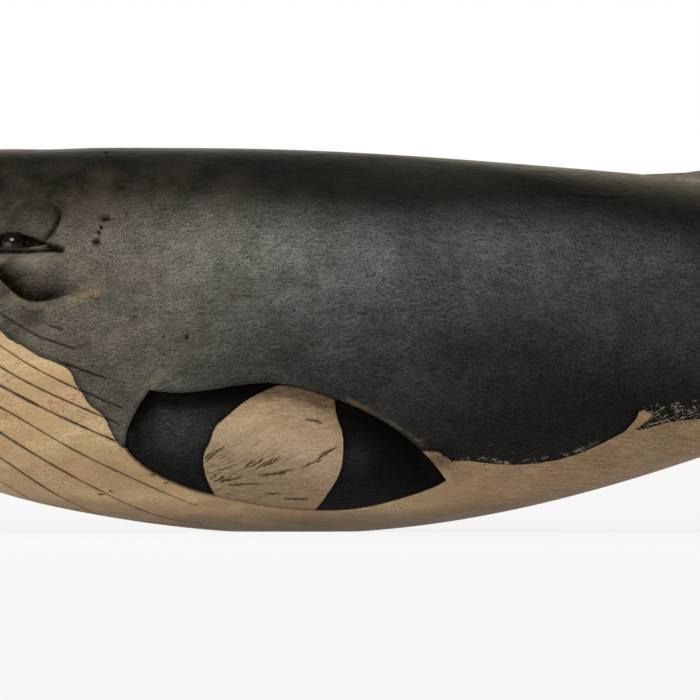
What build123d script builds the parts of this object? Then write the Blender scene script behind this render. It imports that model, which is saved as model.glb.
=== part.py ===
from build123d import *
import os
from math import atan2, cos, pi, sin, sqrt
from scipy.interpolate import CubicSpline

# A carved and painted wooden whale that rests on a small flat planed under its belly.
# The body is glued up from two planks that meet on the centre plane, the fins are let into it,
# and two glass eyes sit in drilled sockets. X runs from the snout (-X) to the tail (+X), Y across
# the body with the whale's left side at -Y, and Z up from the surface that the belly stands on.

# Body sizes, in millimetres
body_length = 557.0
body_depth = 145.2
body_width = 132.0
snout_to_rest = 212.0
belly_flat_depth = 0.75
snout_flat = 0.3
back_fullness = 0.60
belly_fullness = 0.66

# Glue gap on each side of a seated piece, and the dowels across the centre seam
glue_gap = 0.15
seam_dowel_diameter = 10.0
seam_dowel_length = 40.0
seam_dowel_height = 84.0
seam_dowel_spacing = 72.0
seam_dowel_front = -118.0
seam_dowel_count = 5

# Flippers: flat-backed leaves let into pockets low on the flanks
flipper_length = 120.5
flipper_height = 47.6
flipper_front = -61.7
flipper_bottom = 8.4
flipper_recess = 3.0
flipper_top_seat = 8.0
flipper_bottom_seat = 5.5
flipper_dowel_diameter = 6.0
flipper_dowel_length = 20.0
flipper_dowel_in_leaf = 5.0
flipper_dowel_spacing = 36.0

# Dorsal fin: a board let into a slot along the back
fin_front = 127.0
fin_base_length = 84.0
fin_height = 41.0
fin_root_thickness = 11.0
fin_edge_thickness = 3.0
fin_tip_thickness = 4.0
fin_slot_depth = 14.0
fin_dowel_diameter = 6.0
fin_dowel_length = 34.0
fin_dowel_in_fin = 12.0
fin_dowel_spacing = 38.0

# Tail flukes: one board across the grain, bridled into the end of the tail
fluke_span = 152.0
fluke_sweep = 77.0
fluke_root_thickness = 8.0
fluke_edge_thickness = 2.4
fluke_slot_length = 34.0
fluke_pin_diameter = 4.0
fluke_pin_length = 20.0
fluke_pin_from_root = 8.0

# Glass eyes: flat-backed domes in flat-bottomed sockets
eye_diameter = 10.4
eye_dome = 2.6
eye_inset = 1.2
eye_socket_depth = 3.6
eye_from_rest = -103.5
eye_height = 109.0

# The body's lines, read at stations along it: share of the length from the snout, then the back's and
# the belly's height and the half-width as shares of the depth and half the width, and where the widest
# point lies between belly and back.
lines = [
    (0.000, 0.615, 0.615, 0.000, 0.50),
    (0.006, 0.662, 0.564, 0.086, 0.49),
    (0.020, 0.714, 0.508, 0.168, 0.48),
    (0.050, 0.798, 0.404, 0.306, 0.46),
    (0.118, 0.940, 0.219, 0.586, 0.44),
    (0.185, 0.997, 0.106, 0.812, 0.45),
    (0.252, 1.000, 0.047, 0.932, 0.47),
    (0.380, 0.994, 0.000, 1.000, 0.48),
    (0.488, 0.971, 0.031, 0.944, 0.48),
    (0.589, 0.940, 0.116, 0.788, 0.48),
    (0.657, 0.914, 0.197, 0.648, 0.49),
    (0.758, 0.852, 0.332, 0.432, 0.50),
    (0.859, 0.785, 0.457, 0.244, 0.51),
    (0.939, 0.736, 0.546, 0.130, 0.52),
    (1.000, 0.692, 0.608, 0.058, 0.52),
]
section_steps = 16

# The square root of the share makes the snout round rather than pointed
roots = [sqrt(row[0]) for row in lines]
back_line, belly_line, width_line, widest_line = (
    CubicSpline(roots, [row[column] for row in lines]) for column in range(1, 5)
)


def root_share(x):
    """Square root of the share of the length between the snout and x."""
    return sqrt(max(0.0, (x + snout_to_rest) / body_length))


def back_height(x):
    """Height of the back at x."""
    return body_depth * float(back_line(root_share(x))) - belly_flat_depth


def belly_height(x):
    """Height of the belly at x, before the flat is planed."""
    return body_depth * float(belly_line(root_share(x))) - belly_flat_depth


def widest_height(x):
    """Height of the widest point at x."""
    low = belly_height(x)
    return low + (back_height(x) - low) * float(widest_line(root_share(x)))


def half_width(x):
    """Half the body's width at x."""
    return body_width / 2 * float(width_line(root_share(x)))


def quarter_height(t, fullness):
    """Share of a quarter's height at t along it, from the widest point to its end."""
    return 3 * (1 - t) ** 2 * t * fullness + 3 * (1 - t) * t**2 + t**3


def flank_reach(x, z):
    """How far the flank stands from the centre plane at x and height z."""
    middle = widest_height(x)
    if z > middle:
        share, fullness = (z - middle) / (back_height(x) - middle), back_fullness
    else:
        share, fullness = (middle - z) / (middle - belly_height(x)), belly_fullness
    low, high = 0.0, 1.0
    while high - low > 1e-6:
        t = (low + high) / 2
        if quarter_height(t, fullness) < share:
            low = t
        else:
            high = t
    return half_width(x) * quarter_height(1 - low, fullness)


def half_hull(skin_cut=0.0):
    """The left half of the body's form, its width cut in by skin_cut on the flank."""
    with BuildPart() as hull:
        sections = []
        for step in range(section_steps + 1):
            x = max(snout_flat, body_length * (step / section_steps) ** 2) - snout_to_rest
            middle = widest_height(x)
            width = half_width(x) * (1 - skin_cut / (body_width / 2))
            above = back_height(x) - middle
            below = middle - belly_height(x)
            with BuildSketch(Plane(origin=(x, 0, middle), x_dir=(0, 1, 0), z_dir=(1, 0, 0))) as section:
                with BuildLine():
                    Bezier(
                        (0, above),
                        (-width * back_fullness, above),
                        (-width, above * back_fullness),
                        (-width, 0),
                    )
                    Bezier(
                        (-width, 0),
                        (-width, -below * belly_fullness),
                        (-width * belly_fullness, -below),
                        (0, -below),
                    )
                    Line((0, -below), (0, above))
                make_face()
            sections.append(section.sketch)
        loft(sections)
    return hull.part


# A flipper's outline as shares of its length and height: the edge under the lip, on along the belly, and the
# middle of the blunt front
flipper_upper_edge = [
    (0.076, 0.945),
    (0.257, 0.940),
    (0.437, 0.998),
    (0.652, 0.874),
    (0.894, 0.528),
    (1.000, 0.236),
]
flipper_lower_edge = [
    (0.879, 0.121),
    (0.717, 0.020),
    (0.580, 0.000),
    (0.285, 0.105),
    (0.039, 0.378),
    (0.000, 0.512),
]
flipper_front_bulge = (0.030, 0.760)

# Where the flippers lie
flipper_top = flipper_bottom + flipper_height
flipper_middle = flipper_front + flipper_length / 2
flipper_seat_top = flank_reach(flipper_middle, flipper_top) - flipper_top_seat
flipper_seat_bottom = flank_reach(flipper_middle, flipper_bottom) - flipper_bottom_seat
flipper_seat_lean = atan2(flipper_seat_top - flipper_seat_bottom, flipper_height)
flipper_seat = Plane(
    origin=(
        flipper_middle,
        -(flipper_seat_top + flipper_seat_bottom) / 2,
        flipper_bottom + flipper_height / 2,
    ),
    x_dir=(1, 0, 0),
    z_dir=(0, -cos(flipper_seat_lean), -sin(flipper_seat_lean)),
)


def flipper_point(share, length, height):
    """A point of a flipper's side outline, from its shares of the length and the height."""
    return (
        flipper_middle + (share[0] - 0.5) * length,
        flipper_bottom + flipper_height / 2 + (share[1] - 0.5) * height,
    )


def flipper_blank(gap):
    """The space that a flipper takes, from its flat seat outwards, with a gap all round."""
    length = flipper_length + 2 * gap
    height = flipper_height + 2 * gap
    with BuildPart() as blank:
        with BuildSketch(Plane.XZ):
            with BuildLine():
                upper = Spline(*[flipper_point(share, length, height) for share in flipper_upper_edge])
                lower = Spline(
                    upper @ 1,
                    *[flipper_point(share, length, height) for share in flipper_lower_edge],
                )
                ThreePointArc(lower @ 1, flipper_point(flipper_front_bulge, length, height), upper @ 0)
            make_face()
        extrude(amount=body_width)
        split(bisect_by=flipper_seat.offset(-gap), keep=Keep.TOP)
    return blank.part


# Where the eyes look, square to the head at their place
eye_step = 1.0
eye_reach = flank_reach(eye_from_rest, eye_height)
eye_lean = atan2(eye_reach - flank_reach(eye_from_rest, eye_height + eye_step), eye_step)
eye_plane = Plane(
    origin=(eye_from_rest, -eye_reach, eye_height),
    x_dir=(1, 0, 0),
    z_dir=(0, -cos(eye_lean), sin(eye_lean)),
).offset(-eye_inset)

# Where the dorsal fin stands
fin_rear = fin_front + fin_base_length
fin_middle = fin_front + fin_base_length / 2
fin_top = back_height(fin_middle) + fin_height
fin_floor = back_height(fin_middle) - fin_slot_depth


def fin_column(gap):
    """The upright column that the fin fills in plan, with a gap all round, from the slot's floor."""
    front = fin_front - gap
    rear = fin_rear + gap
    thickest = (front + rear) / 2
    edge = fin_edge_thickness / 2 + gap
    half = fin_root_thickness / 2 + gap
    with BuildPart() as column:
        with BuildSketch(Plane.XY.offset(fin_floor - gap)):
            with BuildLine():
                Line((front, -edge), (front, edge))
                ThreePointArc((front, edge), (thickest, half), (rear, edge))
                Line((rear, edge), (rear, -edge))
                ThreePointArc((rear, -edge), (thickest, -half), (front, -edge))
            make_face()
        extrude(amount=fin_slot_depth + 2 * fin_height)
    return column.part


# Where the flukes lie
tail_end = body_length - snout_to_rest
tail_height = (back_height(tail_end) + belly_height(tail_end)) / 2
fluke_root = tail_end - fluke_slot_length
fluke_pin_x = fluke_root + fluke_pin_from_root

# Dowels across the centre seam
seam_dowel_places = [
    (seam_dowel_front + step * seam_dowel_spacing, seam_dowel_height) for step in range(seam_dowel_count)
]
fin_dowel_places = [(fin_middle - fin_dowel_spacing / 2, 0), (fin_middle + fin_dowel_spacing / 2, 0)]
flipper_dowel_places = [(-flipper_dowel_spacing / 2, 0), (flipper_dowel_spacing / 2, 0)]

# Left half of the body, with its flat, pocket, socket, slots and dowel holes
with BuildPart() as body_left_half:
    add(half_hull())
    split(bisect_by=Plane.XY, keep=Keep.TOP)
    add(flipper_blank(glue_gap), mode=Mode.SUBTRACT)
    with BuildSketch(flipper_seat):
        with Locations(*flipper_dowel_places):
            Circle(flipper_dowel_diameter / 2 + glue_gap)
    extrude(amount=-(flipper_dowel_length - flipper_dowel_in_leaf + glue_gap), mode=Mode.SUBTRACT)
    with BuildSketch(eye_plane):
        Circle(eye_diameter / 2 + glue_gap)
    extrude(amount=eye_socket_depth, both=True, mode=Mode.SUBTRACT)
    with BuildSketch(Plane.XZ):
        with Locations(*seam_dowel_places):
            Circle(seam_dowel_diameter / 2 + glue_gap)
    extrude(amount=seam_dowel_length / 2 + glue_gap, mode=Mode.SUBTRACT)
    add(fin_column(glue_gap), mode=Mode.SUBTRACT)
    with BuildSketch(Plane.XY.offset(fin_floor + fin_dowel_in_fin)):
        with Locations(*fin_dowel_places):
            Circle(fin_dowel_diameter / 2 + glue_gap)
    extrude(amount=-fin_dowel_length - glue_gap, mode=Mode.SUBTRACT)
    with BuildSketch(Plane.XZ):
        with Locations((tail_end, tail_height)):
            Rectangle(2 * (fluke_slot_length + glue_gap), fluke_root_thickness + 2 * glue_gap)
    extrude(amount=body_width, mode=Mode.SUBTRACT)
    with BuildSketch(Plane.XY.offset(tail_height)):
        with Locations((fluke_pin_x, 0)):
            Circle(fluke_pin_diameter / 2 + glue_gap)
    extrude(amount=fluke_pin_length / 2 + glue_gap, both=True, mode=Mode.SUBTRACT)
body_left_half.part.label = "body_left_half"

# Right half of the body
with BuildPart() as body_right_half:
    mirror(body_left_half.part, about=Plane.XZ)
body_right_half.part.label = "body_right_half"

# Dowels that line up and hold the two halves
with BuildPart() as seam_dowels:
    with BuildSketch(Plane.XZ):
        with Locations(*seam_dowel_places):
            Circle(seam_dowel_diameter / 2)
    extrude(amount=seam_dowel_length / 2, both=True)
seam_dowels.part.label = "seam_dowels"

# Left flipper
with BuildPart() as left_flipper:
    add(half_hull(flipper_recess))
    add(flipper_blank(0.0), mode=Mode.INTERSECT)
    with BuildSketch(flipper_seat):
        with Locations(*flipper_dowel_places):
            Circle(flipper_dowel_diameter / 2 + glue_gap)
    extrude(amount=flipper_dowel_in_leaf + glue_gap, mode=Mode.SUBTRACT)
left_flipper.part.label = "left_flipper"

# Right flipper
with BuildPart() as right_flipper:
    mirror(left_flipper.part, about=Plane.XZ)
right_flipper.part.label = "right_flipper"

# Dowels under the flippers
with BuildPart() as flipper_dowels:
    with BuildSketch(flipper_seat.offset(flipper_dowel_in_leaf)):
        with Locations(*flipper_dowel_places):
            Circle(flipper_dowel_diameter / 2)
    extrude(amount=-flipper_dowel_length)
    mirror(about=Plane.XZ)
flipper_dowels.part.label = "flipper_dowels"

# Left eye
with BuildPart() as left_eye:
    with BuildSketch(eye_plane):
        Circle(eye_diameter / 2)
    extrude(amount=-(eye_socket_depth - glue_gap))
    dome_radius = (eye_diameter**2 / 4 + eye_dome**2) / (2 * eye_dome)
    with BuildSketch(Plane(origin=eye_plane.origin, x_dir=eye_plane.x_dir, z_dir=-eye_plane.y_dir)):
        with BuildLine():
            Line((0, 0), (eye_diameter / 2, 0))
            RadiusArc((eye_diameter / 2, 0), (0, eye_dome), -dome_radius)
            Line((0, eye_dome), (0, 0))
        make_face()
    revolve(axis=Axis(eye_plane.origin, eye_plane.z_dir))
left_eye.part.label = "left_eye"

# Right eye
with BuildPart() as right_eye:
    mirror(left_eye.part, about=Plane.XZ)
right_eye.part.label = "right_eye"


def on_fin(along, up):
    """A point of the fin's side outline: along its base, and up from the back to the tip."""
    x = fin_front + along * fin_base_length
    return (x, back_height(x) + up * (fin_top - back_height(x)))


# Dorsal fin, swept back, thinner towards its tip and its edges
with BuildPart() as dorsal_fin:
    with BuildSketch(Plane.XZ):
        with BuildLine():
            Line((fin_front, fin_floor), (fin_rear, fin_floor))
            Line((fin_rear, fin_floor), on_fin(1.0, 0.0))
            Spline(on_fin(1.0, 0.0), on_fin(0.955, 0.30), on_fin(0.965, 0.64), on_fin(1.0, 1.0))
            Spline(
                on_fin(1.0, 1.0),
                on_fin(0.92, 0.93),
                on_fin(0.70, 0.53),
                on_fin(0.45, 0.19),
                on_fin(0.22, 0.045),
                on_fin(0.0, -0.02),
            )
            Line(on_fin(0.0, -0.02), (fin_front, fin_floor))
        make_face()
    extrude(amount=fin_root_thickness, both=True)
    add(fin_column(0.0), mode=Mode.INTERSECT)
    with BuildSketch(Plane.YZ):
        with BuildLine():
            Polyline(
                (-fin_root_thickness / 2, fin_floor),
                (fin_root_thickness / 2, fin_floor),
                (fin_root_thickness / 2, back_height(fin_middle)),
                (fin_tip_thickness / 2, fin_top),
                (-fin_tip_thickness / 2, fin_top),
                (-fin_root_thickness / 2, back_height(fin_middle)),
                close=True,
            )
        make_face()
    extrude(amount=body_length, both=True, mode=Mode.INTERSECT)
    with BuildSketch(Plane.XY.offset(fin_floor + fin_dowel_in_fin)):
        with Locations(*fin_dowel_places):
            Circle(fin_dowel_diameter / 2 + glue_gap)
    extrude(amount=-fin_dowel_length, mode=Mode.SUBTRACT)
dorsal_fin.part.label = "dorsal_fin"

# Dowels that stand in the back under the fin
with BuildPart() as fin_dowels:
    with BuildSketch(Plane.XY.offset(fin_floor + fin_dowel_in_fin - glue_gap)):
        with Locations(*fin_dowel_places):
            Circle(fin_dowel_diameter / 2)
    extrude(amount=-(fin_dowel_length - glue_gap))
fin_dowels.part.label = "fin_dowels"


def on_fluke(along, out):
    """A point of the flukes' plan: back from the root and out to the tip, as shares."""
    return (fluke_root + along * fluke_sweep, out * fluke_span / 2)


# Tail flukes, notched in the middle, thinner towards the tips and the trailing edge
with BuildPart() as tail_flukes:
    with BuildSketch(Plane.XY.offset(tail_height)):
        with BuildLine():
            Line(on_fluke(0.0, 0.0), on_fluke(0.0, 0.06))
            Spline(
                on_fluke(0.0, 0.06),
                on_fluke(0.20, 0.28),
                on_fluke(0.55, 0.68),
                on_fluke(0.86, 0.95),
                on_fluke(1.0, 1.0),
            )
            Spline(
                on_fluke(1.0, 1.0),
                on_fluke(0.87, 0.68),
                on_fluke(0.81, 0.34),
                on_fluke(0.84, 0.10),
                on_fluke(0.77, 0.0),
            )
            Line(on_fluke(0.77, 0.0), on_fluke(0.0, 0.0))
        make_face()
        mirror(about=Plane.XZ)
    extrude(amount=fluke_root_thickness / 2, both=True)
    with BuildSketch(Plane.XZ):
        with BuildLine():
            Polyline(
                (fluke_root, tail_height - fluke_root_thickness / 2),
                (tail_end, tail_height - fluke_root_thickness / 2),
                (fluke_root + fluke_sweep, tail_height - fluke_edge_thickness / 2),
                (fluke_root + fluke_sweep, tail_height + fluke_edge_thickness / 2),
                (tail_end, tail_height + fluke_root_thickness / 2),
                (fluke_root, tail_height + fluke_root_thickness / 2),
                close=True,
            )
        make_face()
    extrude(amount=fluke_span, both=True, mode=Mode.INTERSECT)
    with BuildSketch(Plane.XY.offset(tail_height)):
        with Locations((fluke_pin_x, 0)):
            Circle(fluke_pin_diameter / 2 + glue_gap)
    extrude(amount=fluke_root_thickness, both=True, mode=Mode.SUBTRACT)
tail_flukes.part.label = "tail_flukes"

# Pin down through the tail and the flukes
with BuildPart() as fluke_pin:
    with BuildSketch(Plane.XY.offset(tail_height)):
        with Locations((fluke_pin_x, 0)):
            Circle(fluke_pin_diameter / 2)
    extrude(amount=fluke_pin_length / 2, both=True)
fluke_pin.part.label = "fluke_pin"

os.makedirs("parts", exist_ok=True)
for piece in (
    body_left_half,
    body_right_half,
    seam_dowels,
    left_flipper,
    right_flipper,
    flipper_dowels,
    left_eye,
    right_eye,
    dorsal_fin,
    fin_dowels,
    tail_flukes,
    fluke_pin,
):
    export_step(piece.part, f"parts/{piece.part.label}.step")
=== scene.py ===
"""Looks of a carved and painted wooden whale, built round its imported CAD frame.

Lengths inside the classes are millimetres in the frame's own axes: X from the snout to the tail, the whale's
left side at -Y, Z up from the surface that the belly stands on. Meshes are handed over in metres. Places on
the flank are given as X and girth, the length round the section from the back's middle.
"""
import logging
import math
from collections.abc import Callable
from dataclasses import dataclass
from enum import Enum

import bmesh
import bpy
import numpy as np
from mathutils import Matrix, Vector, noise


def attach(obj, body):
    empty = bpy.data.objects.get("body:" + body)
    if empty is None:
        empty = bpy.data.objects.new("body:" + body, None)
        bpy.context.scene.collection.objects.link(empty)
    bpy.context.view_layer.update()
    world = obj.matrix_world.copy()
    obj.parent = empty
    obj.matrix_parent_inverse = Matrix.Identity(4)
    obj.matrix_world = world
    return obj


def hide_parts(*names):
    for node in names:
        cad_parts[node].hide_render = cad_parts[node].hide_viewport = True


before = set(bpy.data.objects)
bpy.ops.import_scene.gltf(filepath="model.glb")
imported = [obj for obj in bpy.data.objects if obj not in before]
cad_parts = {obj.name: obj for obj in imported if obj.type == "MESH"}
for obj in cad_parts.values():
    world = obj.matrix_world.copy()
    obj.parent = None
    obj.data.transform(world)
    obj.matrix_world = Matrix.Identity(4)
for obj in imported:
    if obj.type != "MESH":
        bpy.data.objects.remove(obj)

LOG = logging.getLogger("whale")
MM = 0.001
BODY = "root"
TINY = 1e-6

# Places down a section of the hull, which starts at 0 on the back
WIDEST = 1.0
KEEL = 2.0

Array = np.ndarray
Points = tuple[tuple[float, float], ...]
Colour = tuple[float, float, float, float]
Form = bmesh.types.BMesh
Mesh = bpy.types.Mesh
Material = bpy.types.Material
Socket = bpy.types.NodeSocket
Value = Socket | float | Colour

WHITE: Colour = (1.0, 1.0, 1.0, 1.0)
NO_LIGHT: Colour = (0.0, 0.0, 0.0, 1.0)


class Slot(Enum):
    """Names of the material slots for the modelled pieces."""

    BODY = "body_wood"
    FIN = "fin_wood"
    EYE = "eye_glass"


class Operation(Enum):
    """Ways to join two numbers in a material."""

    TIMES = "MULTIPLY"
    PLUS = "ADD"
    LESS = "SUBTRACT"
    MOST = "MAXIMUM"


def smooth_step(low: float, high: float, value: Array) -> Array:
    """Rise smoothly from 0 where a value is low to 1 where it is high."""
    share = np.clip((value - low) / (high - low), 0.0, 1.0)
    return share * share * (3 - 2 * share)


def taper(share: Array, first: float, last: float) -> Array:
    """1 along a line, falling to 0 within the given shares of its length at its first and last end."""
    return smooth_step(0.0, first, share) * smooth_step(0.0, last, 1 - share)


def bell(distance: Array, width: Array | float) -> Array:
    """1 at no distance, falling off smoothly within a width."""
    return np.exp(-((distance / width) ** 2))


def oval(at: Array, middle: tuple[float, float], reach: tuple[float, float]) -> Array:
    """1 at a middle, falling off smoothly within an oval's two reaches."""
    long, tall = ((at - np.asarray(middle)) / reach).T
    return np.exp(-(long**2) - tall**2)


class CubicLine:
    """A smooth curve through points, as a batten takes it."""

    def __init__(self, at: Array, values: Array) -> None:
        """Fit the curve.

        Args:
            at: Rising places of the points.
            values: The curve's value at each place.
        """
        self.at = np.asarray(at, float)
        self.values = np.asarray(values, float)
        step = np.diff(self.at)
        count = len(self.at)
        system = np.eye(count)
        right = np.zeros(count)
        for i in range(1, count - 1):
            system[i, i - 1 : i + 2] = step[i - 1], 2 * (step[i - 1] + step[i]), step[i]
            rise = np.diff(self.values[i - 1 : i + 2]) / step[i - 1 : i + 1]
            right[i] = 6 * (rise[1] - rise[0])
        if count > 3:
            system[0, :3] = -step[1], step[0] + step[1], -step[0]
            system[-1, -3:] = -step[-1], step[-2] + step[-1], -step[-2]
        self.bend = np.linalg.solve(system, right)

    def __call__(self, where: Array) -> Array:
        """Read the curve.

        Args:
            where: Places to read at.

        Returns:
            The curve's values there.
        """
        i = np.clip(np.searchsorted(self.at, where) - 1, 0, len(self.at) - 2)
        step = self.at[i + 1] - self.at[i]
        after = (where - self.at[i]) / step
        before = 1 - after
        arc = (before**3 - before) * self.bend[i] + (after**3 - after) * self.bend[i + 1]
        return before * self.values[i] + after * self.values[i + 1] + arc * step**2 / 6


def run_of(line: Array) -> Array:
    """Length along a line from its start to each of its points."""
    return np.concatenate([[0.0], np.cumsum(np.hypot(*np.diff(line, axis=0).T))])


def drawn_line(points: Points | Array, count: int) -> Array:
    """Draw one smooth line through points.

    Args:
        points: Points that the line passes.
        count: How many points to return.

    Returns:
        Points evenly spaced along the line.
    """
    held = np.asarray(points, float)
    along = run_of(held)
    where = np.linspace(0.0, along[-1], count)
    return np.column_stack([CubicLine(along, held[:, axis])(where) for axis in (0, 1)])


def line_distance(at: Array, line: Points | Array, reach: float = 12.0) -> tuple[Array, Array]:
    """Measure how far points lie from a line.

    Args:
        at: Points to measure.
        line: Points along the line.
        reach: Distance beyond which points needn't be told apart.

    Returns:
        The distance of each point, and the share of the line's length at the nearest place.
    """
    line = np.asarray(line, float)
    order = np.argsort(at[:, 0], kind="stable")
    held = at[order]
    best, share = np.full(len(at), reach), np.zeros(len(at))
    along = run_of(line)
    for start, end, done, ended in zip(line[:-1], line[1:], along[:-1], along[1:]):
        ends = min(start[0], end[0]) - reach, max(start[0], end[0]) + reach
        low, high = np.searchsorted(held[:, 0], ends)
        near, run, length = held[low:high], end - start, ended - done
        t = np.clip((near - start) @ run / max(length**2, TINY**2), 0.0, 1.0)
        gap = np.hypot(*(near - start - t[:, None] * run).T)
        nearer = np.flatnonzero(gap < best[low:high])
        best[nearer + low] = gap[nearer]
        share[nearer + low] = (done + t[nearer] * length) / along[-1]
    back = np.argsort(order, kind="stable")
    return best[back], share[back]


def gap_to(at: Array, line: Points | Array, reach: float = 12.0) -> Array:
    """Distance of points from a line, told apart up to a reach."""
    return line_distance(at, line, reach)[0]


def turn_side(at: Array, line: Array, share: Array, step: float = 0.05) -> Array:
    """Tell on which side of a line points lie.

    Args:
        at: Points to test.
        line: Points along the line.
        share: Share of the line's length at the place nearest to each point.
        step: How far before and after that place the line's run is read.

    Returns:
        Below 0 for a point above a line that runs rearwards, and above 0 for one below it.
    """
    along = run_of(line)
    where = np.clip(share, 0.005, 0.995) * along[-1]
    before, after = (
        np.column_stack([np.interp(where + shift, along, line[:, axis]) for axis in (0, 1)])
        for shift in (-step, step)
    )
    run, out = after - before, at - (before + after) / 2
    return run[:, 0] * out[:, 1] - run[:, 1] * out[:, 0]


def inside(at: Array, ring: Array) -> Array:
    """Tell which points lie inside a closed ring.

    Args:
        at: Points to test.
        ring: Corners of the ring, in order.

    Returns:
        True for each point inside.
    """
    order = np.argsort(at[:, 1], kind="stable")
    held = at[order]
    odd = np.zeros(len(at), bool)
    for start, end in zip(ring, np.roll(ring, -1, axis=0)):
        low, high = np.searchsorted(held[:, 1], sorted((start[1], end[1])))
        if low < high:
            near = held[low:high]
            crossing = start[0] + (near[:, 1] - start[1]) * (end[0] - start[0]) / (end[1] - start[1])
            odd[low:high] ^= near[:, 0] < crossing
    return odd[np.argsort(order, kind="stable")]


def rough(at: Array, size: float, seed: float) -> Array:
    """Unevenness of about -1 to 1, such as a hand leaves: bumps of one size, in the pattern of a seed."""
    return np.array([noise.noise((a / size, b / size, seed)) for a, b in at])


@dataclass
class Hull:
    """The body's form: its lines at stations along it, and full oval sections.

    A station holds its share of the length, the back's and the belly's height as shares of the depth, the
    half-width as a share of half the width, and where the widest point lies between belly and back.
    """

    length: float = 557.0
    depth: float = 145.2
    width: float = 132.0
    snout: float = 212.0
    flat: float = 0.75
    back_fullness: float = 0.60
    belly_fullness: float = 0.66
    tail_round: float = 7.0
    girth_rows: int = 240
    girth_columns: int = 161
    stations: tuple[tuple[float, ...], ...] = (
        (0.000, 0.615, 0.615, 0.000, 0.50),
        (0.006, 0.662, 0.564, 0.086, 0.49),
        (0.020, 0.714, 0.508, 0.168, 0.48),
        (0.050, 0.798, 0.404, 0.306, 0.46),
        (0.118, 0.940, 0.219, 0.586, 0.44),
        (0.185, 0.997, 0.106, 0.812, 0.45),
        (0.252, 1.000, 0.047, 0.932, 0.47),
        (0.380, 0.994, 0.000, 1.000, 0.48),
        (0.488, 0.971, 0.031, 0.944, 0.48),
        (0.589, 0.940, 0.116, 0.788, 0.48),
        (0.657, 0.914, 0.197, 0.648, 0.49),
        (0.758, 0.852, 0.332, 0.432, 0.50),
        (0.859, 0.785, 0.457, 0.244, 0.51),
        (0.939, 0.736, 0.546, 0.130, 0.52),
        (1.000, 0.692, 0.608, 0.058, 0.52),
    )

    def __post_init__(self) -> None:
        """Draw the lines and measure the girth along them."""
        table = np.array(self.stations)
        roots = np.sqrt(table[:, 0])
        self.lines = [CubicLine(roots, table[:, column]) for column in range(1, 5)]
        self.end = self.length - self.snout
        rows, columns = np.linspace(0, 1, self.girth_rows), np.linspace(0, KEEL, self.girth_columns)
        grid_u, grid_q = np.meshgrid(rows, columns, indexing="ij")
        points = self.surface(self.place(grid_u.ravel()), grid_q.ravel()).reshape(*grid_u.shape, 3)
        steps = np.linalg.norm(np.diff(points, axis=1), axis=2)
        self.girths = np.pad(np.cumsum(steps, axis=1), ((0, 0), (1, 0)))

    def place(self, u: Array) -> Array:
        """X at the square root u of the share of the length, which rounds the snout."""
        return self.length * u**2 - self.snout

    def root(self, x: Array) -> Array:
        """The square root of the share of the length at X."""
        return np.sqrt(np.clip((x + self.snout) / self.length, 0.0, 1.0))

    def sections(self, x: Array) -> tuple[Array, Array, Array, Array]:
        """Read the section's sizes.

        Args:
            x: Places along the body.

        Returns:
            Heights of the back, the belly and the widest point, and half the width.
        """
        u = self.root(x)
        back, belly, half, widest = (line(u) for line in self.lines)
        back = self.depth * back - self.flat
        belly = self.depth * belly - self.flat
        middle = belly + (back - belly) * widest
        near_end = np.clip((x - self.end + self.tail_round) / self.tail_round, 0.0, 1.0)
        shrink = np.sqrt(np.clip(1 - near_end**2, 0.0, 1.0))
        half = np.maximum(half, 0.0) * self.width / 2 * shrink
        return middle + (back - middle) * shrink, middle + (belly - middle) * shrink, middle, half

    @staticmethod
    def quarter(t: Array, fullness: Array) -> Array:
        """Share of a quarter oval's reach at t along it."""
        return 3 * (1 - t) ** 2 * t * fullness + 3 * (1 - t) * t**2 + t**3

    def surface(self, x: Array, q: Array) -> Array:
        """Find points on the left flank.

        Args:
            x: Places along the body.
            q: Places down each section: 0 on the back, 1 at the widest point, 2 under the belly.

        Returns:
            One point for each pair.
        """
        back, belly, middle, half = self.sections(x)
        upper = q < WIDEST
        t = np.where(upper, WIDEST - q, q - WIDEST)
        fullness = np.where(upper, self.back_fullness, self.belly_fullness)
        reach = np.where(upper, back - middle, belly - middle)
        z = middle + reach * self.quarter(t, fullness)
        return np.column_stack([x, -half * self.quarter(1 - t, fullness), np.maximum(z, 0.0)])

    def outward(self, x: Array, q: Array, ahead: float = 0.4, down: float = 0.004) -> Array:
        """Directions square to the flank, pointing out.

        Args:
            x: Places along the body.
            q: Places down each section.
            ahead: Step along the body over which the flank's slope is read.
            down: Step down the section over which it is read.

        Returns:
            One unit direction for each pair.
        """
        along = self.surface(x + ahead, q) - self.surface(x - ahead, q)
        across = self.surface(x, q + down) - self.surface(x, q - down)
        out = np.cross(across, along)
        long = np.linalg.norm(out, axis=1)
        out[long < TINY] = (-1.0, 0.0, 0.0)
        return out / np.maximum(long, TINY)[:, None]

    def girth(self, x: Array, q: Array | float) -> Array:
        """Length round the section from the back's middle down to q.

        Args:
            x: Places along the body.
            q: Places down each section.

        Returns:
            One length for each pair.
        """
        last = self.girth_rows - 1, self.girth_columns - 1
        rows = np.clip(self.root(x) * last[0], 0, last[0] - 0.001)
        columns = np.clip(q * last[1] / KEEL, 0, last[1] - 0.001)
        i, j = rows.astype(int), columns.astype(int)
        a, b = rows - i, columns - j
        front, rear = (self.girths[row, j] * (1 - b) + self.girths[row, j + 1] * b for row in (i, i + 1))
        return front * (1 - a) + rear * a

    def down(self, x: Array, z: Array) -> Array:
        """Place down the section at which the flank has a height.

        Args:
            x: Places along the body.
            z: Heights on the flank.

        Returns:
            One q for each pair.
        """
        low, high = np.zeros(len(x)), np.full(len(x), KEEL)
        for _ in range(40):
            middle = (low + high) / 2
            above = self.surface(x, middle)[:, 2] > z
            low, high = np.where(above, middle, low), np.where(above, high, middle)
        return (low + high) / 2

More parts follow.
